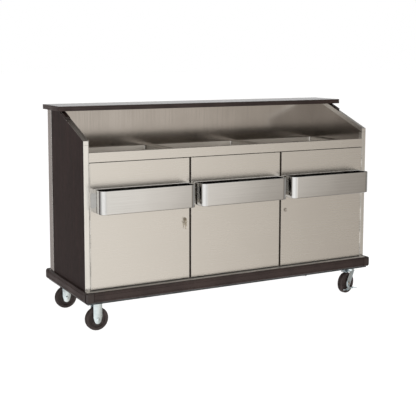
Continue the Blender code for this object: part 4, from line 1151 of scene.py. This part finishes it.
@dataclass(frozen=True)
class Case:
    """Laminated panels, the folded liner, and the stainless angles and caps on the edges.

    Attributes:
        board_edge: rounding of the boards' edges.
        block_edge: rounding of the moulded blocks' edges.
        fold: outer radius of the folds.
    """

    board_edge: float = 0.0006
    block_edge: float = 0.001
    fold: float = 0.0007

    def build(self) -> None:
        """Dress every sheet and board of the case."""
        for side in Side:
            ease_node(f"side_panel_{side.word}", CASE_LAMINATE, self.board_edge)
            for strip in ("front_trim", "slope_trim", "corner_guard"):
                ease_node(f"{strip}_{side.word}", STAINLESS_UPRIGHT, self.fold)
            ease_node(f"slope_block_{side.word}", MOULDED, self.block_edge)
        ease_node("back_panel", CASE_LAMINATE, self.board_edge)
        dress("case_liner", STAINLESS_LINER)
        ease_node("fascia", STAINLESS, self.fold)


@dataclass(frozen=True)
class BarTop:
    """Laminated board with the ridged vinyl edging pressed round its four sides.

    Attributes:
        board_edge: rounding of the board's edges.
        thick: thickness of the edging outside the board.
        ridges: number of raised bands on its face.
        relief: height of the bands.
        valley: half the flat between two bands.
        band_steps: facets across a band.
        flatness: power of the bands' sine curve. Below 1 they have a flat face.
        corner: radius that the edging bends round at the corners.
    """

    board_edge: float = 0.0005
    thick: float = 0.004
    ridges: int = 3
    relief: float = 0.0015
    valley: float = 0.0004
    band_steps: int = 8
    flatness: float = 0.45
    corner: float = 0.0015

    def build(self) -> None:
        """Dress the board and press the edging on."""
        ease_node("bar_top", TOP_LAMINATE, self.board_edge)
        self.edging()

    def section(self, height: float) -> list[Point]:
        """Section of the edging from its flat back, with rounded bands.

        Args:
            height: height of the edging.

        Returns:
            The section's points, in turn.
        """
        base, pitch = self.thick - self.relief, height / self.ridges
        points = [(0.0, 0.0), (base, 0.0)]
        for band in range(self.ridges):
            for step in range(self.band_steps + 1):
                share = step / self.band_steps
                swell = math.sin(math.pi * share) ** self.flatness
                up = band * pitch + self.valley + share * (pitch - 2 * self.valley)
                points.append((base + self.relief * swell, up))
        return points + [(base, height), (0.0, height)]

    def edging(self) -> None:
        """Lead the section round the board."""
        low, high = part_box("bar_top_edging")
        path = rounded_loop(
            (low.x, high.x), (low.y, high.y), low.z, self.corner, self.corner, 6, self.thick
        )
        edging = extruded([path], True, self.section(high.z - low.z))
        mesh = smooth_mesh(edging, angle=38.0)
        finished("bar_top_ridged_edging", mesh, [VINYL], "cabinet", "bar_top_edging")


@dataclass(frozen=True)
class WorkingDeck:
    """Deck sheet with the drawn pans that hang in it, and the drain.

    Attributes:
        sheet: thickness of the sheet.
        flange: width of a pan's flange beyond its walls.
        flange_corner: radius of the flange's corners.
        edge: rounding of the flange's edge.
        root: height of the wall's top strip, under the flange.
        rim: radius of the rolled rim.
        corner: inner radius of the pans' upright corners.
        foot: radius between a pan's walls and its floor.
        outer_taper: how fast the corners tighten towards the floor outside.
        inner_taper: how fast they tighten inside.
        lever_edge: rounding of the drain lever's edges.
    """

    sheet: float = 0.0015
    flange: float = 0.0113
    flange_corner: float = 0.004
    edge: float = 0.0004
    root: float = 0.0005
    rim: float = 0.002
    corner: float = 0.014
    foot: float = 0.010
    outer_taper: float = 0.4
    inner_taper: float = 0.5
    lever_edge: float = 0.0008

    def build(self) -> None:
        """Dress the deck, make the pans, and dress what is under them."""
        dress("deck", STAINLESS_PAN)
        for node in ("bottle_well_left", "bottle_well_right", "ice_bin"):
            self.pan(node)
        dress("ice_bin_jacket", FOAM)
        dress("drain_valve", BRASS)
        ease_node("drain_lever", ZINC, self.lever_edge)

    def pan(self, node: str) -> None:
        """Pan of one sheet: flange, rolled rim, walls with rounded corners, and floor.

        Args:
            node: name of the well or of the ice bin.
        """
        low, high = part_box(node)
        wall, inner = self.flange, self.flange + self.sheet
        bend, fillet = self.foot, self.foot - self.sheet
        under, outer_corner = high.z - self.sheet, self.corner + self.sheet
        # Each level: how far within the flange's edge, its height, and its corners' radius.
        levels = [
            (out, up, outer_corner - (out - wall) * self.outer_taper)
            for out, up in arc((wall + bend, low.z + bend), bend, 270, -90, 5)
        ]
        levels += [(wall, under - self.root, outer_corner), (wall, under, outer_corner)]
        levels += [
            (out, up, self.flange_corner)
            for out, up in (
                (self.edge, under), (0.0, under + self.edge),
                (0.0, high.z - self.edge), (self.edge, high.z),
            )
        ]
        levels += [
            (out, up, self.corner + inner - out)
            for out, up in arc((inner - self.rim, high.z - self.rim), self.rim, 90, -90, 4)
        ]
        levels += [
            (out, up, self.corner - (out - inner) * self.inner_taper)
            for out, up in arc((inner + fillet, low.z + bend), fillet, 180, 90, 5)
        ]
        x, y = (low.x, high.x), (low.y, high.y)
        loops = [rounded_loop(x, y, up, radius, radius, 6, out) for out, up, radius in levels]
        mesh = smooth_mesh(stacked(loops), angle=50.0)
        finished(f"{node}_drawn_pan", mesh, [STAINLESS_PAN], "cabinet", node)


@dataclass(frozen=True)
class Doors:
    """Two doors and the fixed middle panel, with their hinges, partitions, locks and keys.

    Attributes:
        fold: outer radius of the folds.
        bezel: radius of a lock's face.
        barrel: radius of a lock's barrel.
        plug: radius of the bore that the plug turns in.
        sink: width and depth of the bevel round the plug.
        dome: how far the face falls off to both sides of its highest ring.
        dome_ring: distance of that ring from the outer edge.
        roll: rounding of the face's outer edge.
        barrel_edge: bevel at the barrel's end.
        key_edge: rounding of the keys' edges.
    """

    fold: float = 0.0013
    bezel: float = 0.012
    barrel: float = 0.0095
    plug: float = 0.0063
    sink: float = 0.0008
    dome: float = 0.0002
    dome_ring: float = 0.0026
    roll: float = 0.0012
    barrel_edge: float = 0.0006
    key_edge: float = 0.0004

    def build(self) -> None:
        """Dress the doors and what is fitted to them."""
        ease_node("middle_panel", STAINLESS, self.fold, steps=3)
        for side in Side:
            ease_node(f"door_{side.word}", STAINLESS, self.fold, steps=3)
            # The partitions' dark sheet is painted shade for the gap between the doors.
            dress(f"partition_{side.word}", STAINLESS_PARTITION_SHADE)
            dress(f"hinge_leaf_case_{side.word}", STAINLESS)
            dress(f"hinge_leaf_door_{side.word}", STAINLESS)
            dress(f"lock_cam_{side.word}", CAST_ZINC)
            self.lock(side)
        ease_node("keys", KEY_NICKEL, self.key_edge)

    def lock(self, side: Side) -> None:
        """Body of a cam lock: domed bezel with a sunk ring, and the barrel behind it.

        Args:
            side: the left or right door.
        """
        node, body = f"lock_body_{side.word}", f"door_{side.word}"
        low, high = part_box(node)
        centre = Vector(((low.x + high.x) / 2, low.y, (low.z + high.z) / 2))
        face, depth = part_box(body)[0].y - low.y, high.y - low.y
        turn = (self.bezel - self.roll, self.dome + self.roll)
        profile = [
            (self.plug, self.sink), (self.plug + self.sink, self.dome),
            (self.bezel - self.dome_ring, 0.0), *arc(turn, self.roll, 270, 90, 4),
            (self.bezel, face), (self.barrel, face), (self.barrel, depth - self.barrel_edge),
            (self.barrel - self.barrel_edge, depth), (self.plug, depth),
        ]
        mesh = smooth_mesh(lathe(profile, 48, ACROSS, centre), angle=32.0)
        finished(f"{node}_casting", mesh, [CAST_ZINC], body, node)


@dataclass(frozen=True)
class SpeedRails:
    """Three folded troughs with a rolled rim, each hung by two tabs.

    Attributes:
        sheet: thickness of the sheet.
        corner: radius of the two front corners in plan.
        foot: radius between the walls and the floor.
        hem: width of the rolled rim.
        hem_height: how far the rolled rim reaches down inside.
        hem_edge: bevel at its lower end.
        wide_tab: width of a side rail's outer tab.
        narrow_tab: width of every other tab.
        clip: how far the tabs' corners are cut off.
        tab_height: heights of the tabs' lower and upper ends.
    """

    sheet: float = 0.0015
    corner: float = 0.035
    foot: float = 0.005
    hem: float = 0.003
    hem_height: float = 0.008
    hem_edge: float = 0.0003
    wide_tab: float = 0.016
    narrow_tab: float = 0.0085
    clip: float = 0.006
    tab_height: Point = (0.669, 0.749)

    def build(self) -> None:
        """Make the three rails."""
        self.rail("left", self.wide_tab, self.narrow_tab)
        self.rail("middle", self.narrow_tab, self.narrow_tab)
        self.rail("right", self.narrow_tab, self.wide_tab)

    def rail(self, name: str, left_tab: float, right_tab: float) -> None:
        """Make one rail: its trough and its tabs.

        Args:
            name: the rail's place: left, middle or right.
            left_tab: width of its left tab.
            right_tab: width of its right tab.
        """
        node = f"speed_rail_{name}"
        low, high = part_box(node)
        left, right = low.x + left_tab, high.x - right_tab
        parts = (
            self.trough((left, right), (low.y, high.y), low.z, high.z),
            self.tab(left, -1, left_tab, high.y), self.tab(right, 1, right_tab, high.y),
        )
        mesh = smooth_mesh(joined([(part, 0) for part in parts]), angle=40.0)
        finished(f"{node}_trough", mesh, [STAINLESS_RAIL], f"rail_{name}", node)

    def trough(self, x: Point, y: Point, low: float, high: float) -> Shape:
        """Folded trough: outside, rolled rim, inside.

        Args:
            x: left and right end.
            y: front and back.
            low: height of the floor's underside.
            high: height of the rim.

        Returns:
            The trough.
        """
        foot, roll = (self.foot, low + self.foot), self.hem / 2
        section = arc(foot, self.foot, 270, -90, 5)
        section += arc((roll, high - roll), roll, 180, -180, 8)
        section.append((self.hem, high - self.hem_height))
        section.append((self.sheet, high - self.hem_height - self.hem_edge))
        section += arc(foot, self.foot - self.sheet, 180, 90, 5)
        return stacked([
            rounded_loop(x, y, up, self.corner - out, 0.0, 14, out) for out, up in section
        ])

    def tab(self, end: float, outward: int, width: float, back: float) -> Shape:
        """Hanging tab beyond one end of a rail's back wall, with clipped outer corners.

        Args:
            end: where the rail's back wall ends along X.
            outward: 1 to the right and -1 to the left.
            width: width of the tab.
            back: where the wall's back stands along Y.

        Returns:
            The tab.
        """
        low, high = self.tab_height
        inner = end - outward * self.sheet / 2
        outer = end + outward * width
        clip = outer - outward * self.clip
        outline = [
            (inner, low), (clip, low), (outer, low + self.clip),
            (outer, high - self.clip), (clip, high), (inner, high),
        ]
        points = [Vector((px, back - self.sheet, pz)) for px, pz in outline]
        return pushed(points, self.sheet * ACROSS)


@dataclass(frozen=True)
class Caster:
    """One caster: wheel, fork, plate or rigid horn, axle and brake.

    Attributes:
        name: which corner, as the nodes spell it.
        place: middle of its plate on the floor plan.
        turn: how far its fork is turned about the upright, in degrees.
        lead: how far the wheel trails behind the swivel.
        swivels: whether its fork turns.
        radius: radius of the wheel.
        half_width: half the width of the tyre.
        half_hub: half the width of the hub.
        hub: half section of the wheel's centre from the bore outwards, as (radius, half width).
        wall: half section of the tyre's wall, the same way.
        bend: rounding between the tyre's wall and its tread.
        tread: half section of the line round the tread, as (depth, half width).
        sheet: thickness of the pressed steel.
        edge: rounding of its edges.
        gap: room between moving pieces.
        leg_half: half the width of a fixed fork's leg, and how far a swivel fork's crown
            reaches behind its axle.
        swivel_leg_half: half the width of a swivel fork's leg at its top.
        tip: radius of a leg's round tip.
        drop: how far a leg reaches below the axle.
        shoulder: height at which a fixed fork's legs start to narrow.
        crown: levels of a swivel fork's crown, as (inset, height).
        crown_ahead: how far it reaches ahead of the swivel.
        crown_corner: radius of its corners.
        lower_race: half section of the race on the crown, as (radius, height).
        upper_race: half section of the race under the plate and of the kingpin.
        plate_levels: levels of the plate, as (inset, height).
        plate_half: half the plate's length and width.
        plate_corner: radius of its corners.
        bolt_place: distance of the bolts from its middle, along and across.
        bolt_head: half section of a hexagon head, as (half width, height).
        axle_head: half section of an axle's head, as (radius, height).
    """

    name: str
    place: Point
    turn: float
    lead: float
    swivels: bool
    radius: float = 0.0635
    half_width: float = 0.016
    half_hub: float = 0.019
    hub: Profile = (
        (0.0053, 0.0184), (0.0059, 0.019), (0.0148, 0.019), (0.016, 0.0178), (0.0172, 0.0092),
        (0.020, 0.008), (0.040, 0.008), (0.0435, 0.0092), (0.0452, 0.0146), (0.0462, 0.0152),
    )
    wall: Profile = ((0.0468, 0.0148), (0.0482, 0.0156), (0.0535, 0.016))
    bend: float = 0.0072
    tread: Profile = ((0.0, 0.0046), (0.0006, 0.0034), (0.002, 0.0029), (0.002, 0.0))
    sheet: float = 0.003
    edge: float = 0.0008
    gap: float = 0.0003
    leg_half: float = 0.025
    swivel_leg_half: float = 0.021
    tip: float = 0.019
    drop: float = 0.026
    shoulder: float = 0.074
    crown: Profile = ((0.0, 0.133), (0.0, 0.1346), (0.0014, 0.136))
    crown_ahead: float = 0.028
    crown_corner: float = 0.006
    lower_race: Profile = (
        (0.0065, 0.135), (0.0274, 0.135), (0.028, 0.137), (0.028, 0.1462), (0.0265, 0.1477),
        (0.0065, 0.1477),
    )
    upper_race: Profile = (
        (0.0, 0.1287), (0.0088, 0.1287), (0.010, 0.1299), (0.010, 0.1327), (0.006, 0.1327),
        (0.006, 0.148), (0.0265, 0.148), (0.028, 0.1495), (0.028, 0.157), (0.0, 0.157),
    )
    plate_levels: Profile = ((0.0008, 0.156), (0.0, 0.1568), (0.0, 0.1592), (0.0008, 0.16))
    plate_half: Point = (0.05, 0.0425)
    plate_corner: float = 0.008
    bolt_place: Point = (0.038, 0.0315)
    bolt_head: Profile = ((0.0062, -0.0052), (0.0074, -0.0044), (0.0074, 0.0))
    axle_head: Profile = (
        (0.005, 0.0), (0.0095, 0.0), (0.0095, 0.003), (0.0088, 0.0048), (0.0068, 0.006),
        (0.0, 0.006),
    )

    def matrix(self) -> Matrix:
        """Where the caster stands and how it is turned."""
        place = Matrix.Translation((self.place[0], self.place[1], 0.0))
        return place @ Matrix.Rotation(math.radians(self.turn), 4, "Z")

    def seated(self, bm: Shape) -> Shape:
        """Move a shape from the caster's own frame to its place."""
        bmesh.ops.transform(bm, matrix=self.matrix(), verts=bm.verts)
        return bm

    def build(self) -> None:
        """Make the caster's pieces."""
        self.wheel()
        fork_body = f"swivel_{self.name}" if self.swivels else "cabinet"
        legs = [(self.leg(side), 0) for side in Side]
        plate = [(self.plate(), 0), (self.bolts(), 0)]
        if not self.swivels:
            parts = legs + plate + [(self.axle(), 1)]
            self.piece("fork", "pressing", parts, [ZINC, CAST_ZINC], fork_body)
            return
        lower, upper = (
            self.seated(lathe(race, 48, UP, Vector()))
            for race in (self.lower_race, self.upper_race)
        )
        legs += [(self.crown_plate(), 0), (lower, 0)]
        plate.insert(1, (upper, 0))
        self.piece("fork", "pressing", legs, [ZINC], fork_body)
        self.piece("plate", "pressing", plate, [ZINC], "cabinet")
        self.piece("axle", "bolt", [(self.axle(), 0)], [CAST_ZINC], fork_body)
        ease_node(f"brake_pedal_{self.name}", ZINC, self.edge)

    def piece(
        self, kind: str, word: str, parts: Sequence[tuple[Shape, int]],
        finishes: Sequence[Finish], body: str,
    ) -> None:
        """Join parts into the visible piece of one of the caster's nodes.

        Args:
            kind: what the node is.
            word: how it was made, which ends the piece's name.
            parts: its shapes with their material numbers.
            finishes: finishes in the order of those numbers.
            body: body that it moves with.
        """
        node = f"caster_{kind}_{self.name}"
        mesh = smooth_mesh(joined(parts), angle=35.0)
        finished(f"{node}_{word}", mesh, finishes, body, node)

    def wheel(self) -> None:
        """Wheel: solid tyre with two rounded bands, and a centre with a sunk web."""
        middle = (self.radius - self.bend, self.half_width - self.bend)
        half = [*self.hub, *self.wall, *arc(middle, self.bend, 90, -82, 7)]
        half += [(self.radius - depth, out) for depth, out in self.tread]
        profile = half + [(r, -out) for r, out in reversed(half[:-1])]
        centre = self.matrix() @ Vector((-self.lead, 0.0, self.radius))
        axis = self.matrix().to_3x3() @ ACROSS
        bm = lathe(profile, 72, axis, centre)
        # The faces inside the tyre's wall take the centre's near-black finish, which is partly
        # painted shade in the sunk web.
        limit = (self.hub[-1][0] + self.wall[0][0]) / 2
        for face in bm.faces:
            middle = face.calc_center_median() - centre
            reach = (middle - axis * middle.dot(axis)).length
            face.material_index = 0 if reach > limit else 1
        node = f"caster_wheel_{self.name}"
        mesh = smooth_mesh(bm, angle=32.0)
        finished(f"{node}_tyre", mesh, [TYRE_RUBBER, WHEEL_CENTRE_SHADE], f"wheel_{self.name}", node)

    def leg(self, side: Side) -> Shape:
        """Leg of the fork with a round tip under the axle. A swivel fork's legs lean back.

        Args:
            side: the leg's side of the wheel.

        Returns:
            The leg.
        """
        inner = side.value * (self.half_hub + self.gap)
        centre = Vector((-self.lead, self.radius - self.drop + self.tip))
        if self.swivels:
            half = self.swivel_leg_half
            left, right = [(-half, self.crown[0][1])], [(half, self.crown[0][1])]
        else:
            half, top = self.leg_half, self.plate_levels[0][1]
            left = [(-half, top), (-half, self.shoulder)]
            right = [(half, self.shoulder), (half, top)]
        start = self.touch(left[-1], centre, -1)
        end = self.touch(right[0], centre, 1)
        points = left + arc((centre.x, centre.y), self.tip, start, end - start, 16) + right
        outline = [Vector((px, inner, pz)) for px, pz in points]
        leg = pushed(outline, side.value * self.sheet * ACROSS)
        return self.seated(loaded(eased(leg, self.edge)))

    def touch(self, corner: Point, centre: Vector, way: int) -> float:
        """Angle at which a line from a corner above touches the round tip.

        Args:
            corner: where the line comes from.
            centre: middle of the tip.
            way: -1 for the left edge of the leg, 1 for the right edge.

        Returns:
            The angle round the tip, in degrees: between 90 and 270 for the left edge, and above
            270 for the right edge.
        """
        off = Vector(corner) - centre
        aim = math.degrees(math.atan2(off.y, off.x))
        swing = math.degrees(math.acos(min(self.tip / off.length, 1.0)))
        return aim + swing if way < 0 else 360.0 + aim - swing

    def plate(self) -> Shape:
        """Bolted plate on top, with rounded corners. It isn't turned with the fork.

        Returns:
            The plate.
        """
        x, y = ((at - half, at + half) for at, half in zip(self.place, self.plate_half))
        levels = [(out, up, self.plate_corner - out) for out, up in self.plate_levels]
        return stacked([
            rounded_loop(x, y, up, corner, corner, 6, out) for out, up, corner in levels
        ])

    def bolts(self) -> Shape:
        """Four hexagon heads under the plate.

        Returns:
            The four heads.
        """
        sixths = [math.radians(60 * step) for step in range(6)]
        head = mesh_of(stacked([
            [Vector((half * math.cos(t), half * math.sin(t), up)) for t in sixths]
            for half, up in self.bolt_head
        ]))
        (x, y), (along, across) = self.place, self.bolt_place
        places = [
            [(x + dx, y + dy, self.plate_levels[0][1])]
            for dx in (-along, along) for dy in (-across, across)
        ]
        values = {"Finish": ZINC.material(), "Largest Turn": math.pi, "Seed": len(self.name)}
        return grown(lines_mesh(places, False), repeat_tree(), head, values)

    def crown_plate(self) -> Shape:
        """Crown of a swivel fork, under its race, with rounded corners.

        Returns:
            The crown.
        """
        x, corner = (-self.lead - self.leg_half, self.crown_ahead), self.crown_corner
        half = self.half_hub + self.gap + self.sheet
        return self.seated(stacked([
            rounded_loop(x, (-half, half), up, corner, corner, 5, out) for out, up in self.crown
        ]))

    def axle(self) -> Shape:
        """Axle with a rounded head at each end: a bolt, or riveted in a fixed fork.

        Returns:
            The axle.
        """
        leg = self.half_hub + self.gap + self.sheet
        far = near = leg - self.sheet / 2
        if self.swivels:
            far = leg + self.gap
            near = far + self.sheet + self.gap
        profile = [(radius, -near - up) for radius, up in reversed(self.axle_head)]
        profile += [(radius, far + up) for radius, up in self.axle_head]
        centre = Vector((-self.lead, 0.0, self.radius))
        return self.seated(lathe(profile, 32, ACROSS, centre))


@dataclass(frozen=True)
class Casters:
    """Two fixed casters at the left end, and two braked swivel casters at the right.

    Attributes:
        front_turn: how far the front swivel fork is turned, in degrees.
        rear_turn: the same for the rear one.
        lead: how far a wheel trails behind its swivel.
    """

    front_turn: float = 15.0
    rear_turn: float = 55.0
    lead: float = 0.038

    def build(self) -> None:
        """Build all four."""
        for end, turn in ((End.FRONT, self.front_turn), (End.REAR, self.rear_turn)):
            for part, side, angle, lead in (
                ("fork", Side.LEFT, 0.0, 0.0), ("plate", Side.RIGHT, turn, self.lead),
            ):
                name = f"{end.word}_{side.word}"
                low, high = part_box(f"caster_{part}_{name}")
                middle = (low + high) / 2
                place = (middle.x, middle.y)
                Caster(name, place, angle, lead, side is Side.RIGHT).build()


@dataclass(frozen=True)
class Lamp:
    """Rectangular soft lamp.

    Attributes:
        name: plain name of the lamp.
        place: where it hangs.
        turn: its turn about X, Y and Z in degrees. Unturned it shines down.
        size: its width and height.
        power: its power in watts.
        mirrored: whether it shows in the metal.
    """

    name: str
    place: Point3
    turn: Point3
    size: Point
    power: float
    mirrored: bool = False

    def build(self) -> None:
        """Hang the lamp."""
        light = bpy.data.lights.new(self.name, "AREA")
        light.shape = "RECTANGLE"
        light.size, light.size_y = self.size
        light.energy = self.power
        made = placed(self.name, light)
        made.location = self.place
        made.rotation_euler = Euler([math.radians(angle) for angle in self.turn])
        made.visible_camera = False
        made.visible_glossy = self.mirrored


@dataclass(frozen=True)
class Studio:
    """Pale floor, soft lamps, the camera, and the room that the metal reflects.

    Attributes:
        walls: brightness of the room, going round it from straight behind the bar by the left
            end, the bartender's side and the right end back to there.
        ceiling: brightness of the room above.
        ceiling_rise: how steep a view is where the walls end, and where the ceiling starts.
        brightness: brightness of a white wall.
        lamps: the lamps.
        floor_reach: half the width of the floor.
        floor_glow: brightness of the half of its paint that glows, which keeps it white.
        lens: focal length in millimetres.
        film: width of the film in millimetres.
        lens_shift: how far the picture's middle is moved up, as a share of its width.
        eye: where the camera stands.
        pitch: how far it looks down, in degrees.
        yaw: how far it looks to the right of straight ahead, in degrees.
        roll: how far it leans, in degrees.
    """

    walls: tuple[tuple[float, str], ...] = (
        (0.0, "8C8482"), (0.035, "D4CECC"), (0.06, "3A3230"), (0.1, "8A8280"),
        (0.13, "302A2A"), (0.17, "4A4442"), (0.2, "D0D0D0"), (0.23, "5A5856"),
        (0.26, "DCDCDC"), (0.29, "F3F3F3"), (0.39, "FFFFFF"), (0.444, "EFEFEE"),
        (0.5, "DEDDDB"), (0.556, "EBE8E3"), (0.575, "DAD5CF"), (0.592, "B9B4AD"),
        (0.606, "A49E97"), (0.64, "7C766F"), (0.75, "959595"), (0.86, "DCDCDC"),
        (0.944, "E6E6E6"), (1.0, "9C9C9C"),
    )
    ceiling: str = "4B4743"
    ceiling_rise: Point = (0.34, 0.62)
    brightness: float = 1.5
    lamps: tuple[Lamp, ...] = (
        Lamp("front_softbox", (-1.9, -6.4, 1.9), (90.0, 0.0, 0.0), (7.6, 4.4), 150.0),
        Lamp("side_softbox", (-6.4, -1.2, 1.6), (90.0, 0.0, -80.0), (4.0, 3.4), 40.0),
        Lamp("overhead", (0.0, -2.4, 4.4), (0.0, 0.0, 0.0), (7.0, 3.6), 90.0, True),
    )
    floor_reach: float = 60.0
    floor_glow: float = 1.85
    lens: float = 77.547
    film: float = 36.0
    lens_shift: float = -0.12
    eye: Point3 = (-2.5548, -4.6032, 1.4697)
    pitch: float = 6.591
    yaw: float = 28.565
    roll: float = 0.137

    def build(self) -> None:
        """Set up everything round the bar."""
        self.world()
        self.floor()
        for lamp in self.lamps:
            lamp.build()
        self.camera()

    def world(self) -> None:
        """White behind the bar, and a grey room for its reflections."""
        made = bpy.data.worlds.new("white_room")
        bpy.context.scene.world = made
        made.use_nodes = True
        tree = made.node_tree
        tree.nodes.clear()
        way = add_node(tree, "ShaderNodeTexCoord").outputs["Generated"]
        split = add_node(tree, "ShaderNodeSeparateXYZ", inputs={"Vector": way}).outputs
        back = add_node(
            tree, "ShaderNodeMath", {"operation": "MULTIPLY"}, {0: split["Y"], 1: -1.0}
        )
        angle = add_node(
            tree, "ShaderNodeMath", {"operation": "ARCTAN2"}, {0: split["X"], 1: back}
        )
        share = add_node(
            tree, "ShaderNodeMath", {"operation": "MULTIPLY_ADD"},
            {0: angle, 1: 0.5 / math.pi, 2: 0.5},
        )
        ring = add_node(tree, "ShaderNodeValToRGB", {"stops": self.walls}, {"Fac": share})
        start, full = self.ceiling_rise
        rise = add_node(
            tree, "ShaderNodeMapRange",
            inputs={"Value": split["Z"], "From Min": start, "From Max": full},
        )
        room = add_node(
            tree, "ShaderNodeMix", {"data_type": "RGBA"},
            {"Factor": rise, 6: ring, 7: linear(self.ceiling)},
        ).outputs[2]
        mirrored = add_node(
            tree, "ShaderNodeBackground", inputs={"Color": room, "Strength": self.brightness}
        )
        white = add_node(tree, "ShaderNodeBackground", inputs={"Color": linear("FFFFFF")})
        seen = add_node(tree, "ShaderNodeLightPath").outputs["Is Camera Ray"]
        mixed = add_node(tree, "ShaderNodeMixShader", inputs={"Fac": seen, 1: mirrored, 2: white})
        add_node(tree, "ShaderNodeOutputWorld", inputs={"Surface": mixed})

    def floor(self) -> None:
        """Wide white floor that keeps a faint shadow."""
        mesh = bpy.data.meshes.new("floor")
        corners = [(-1, -1), (1, -1), (1, 1), (-1, 1)]
        points = [(x * self.floor_reach, y * self.floor_reach, 0.0) for x, y in corners]
        mesh.from_pydata(points, [], [(0, 1, 2, 3)])
        plane = placed("floor", mesh)
        made = bpy.data.materials.new("white_floor_paint")
        made.use_nodes = True
        tree = made.node_tree
        tree.nodes.clear()
        place = add_node(tree, "ShaderNodeTexCoord").outputs["Object"]
        worn = add_node(
            tree, "ShaderNodeTexNoise", inputs={"Vector": place, "Scale": 1.7, "Detail": 3.0}
        )
        stops = ((0.3, "FCFCFC"), (0.7, "FFFFFF"))
        paint = add_node(tree, "ShaderNodeValToRGB", {"stops": stops}, {"Fac": worn})
        matt = add_node(tree, "ShaderNodeBsdfDiffuse", inputs={"Color": paint})
        glow = add_node(
            tree, "ShaderNodeEmission", inputs={"Color": paint, "Strength": self.floor_glow}
        )
        mixed = add_node(tree, "ShaderNodeMixShader", inputs={"Fac": 0.5, 1: matt, 2: glow})
        add_node(tree, "ShaderNodeOutputMaterial", inputs={"Surface": mixed})
        mesh.materials.append(made)
        plane.visible_glossy = False

    def camera(self) -> None:
        """Set the photograph's camera."""
        lens = bpy.data.cameras.new("camera")
        lens.lens = self.lens
        lens.sensor_width = self.film
        lens.shift_y = self.lens_shift
        made = placed("camera", lens)
        made.location = self.eye
        aim = Euler((math.pi / 2 - math.radians(self.pitch), 0.0, -math.radians(self.yaw)))
        lean = Matrix.Rotation(math.radians(self.roll), 3, "Z")
        made.rotation_euler = (aim.to_matrix() @ lean).to_euler()
        bpy.context.scene.camera = made


def main() -> None:
    """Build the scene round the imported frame."""
    logging.basicConfig(level=logging.INFO, format="%(name)s %(message)s")
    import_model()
    bpy.context.scene.view_settings.view_transform = "Standard"
    Studio().build()
    for assembly in (Plinth(), Case(), BarTop(), WorkingDeck(), Doors(), SpeedRails(), Casters()):
        LOG.info("building the %s", type(assembly).__name__)
        assembly.build()
    bpy.context.view_layer.update()


if __name__ == "__main__":
    main()
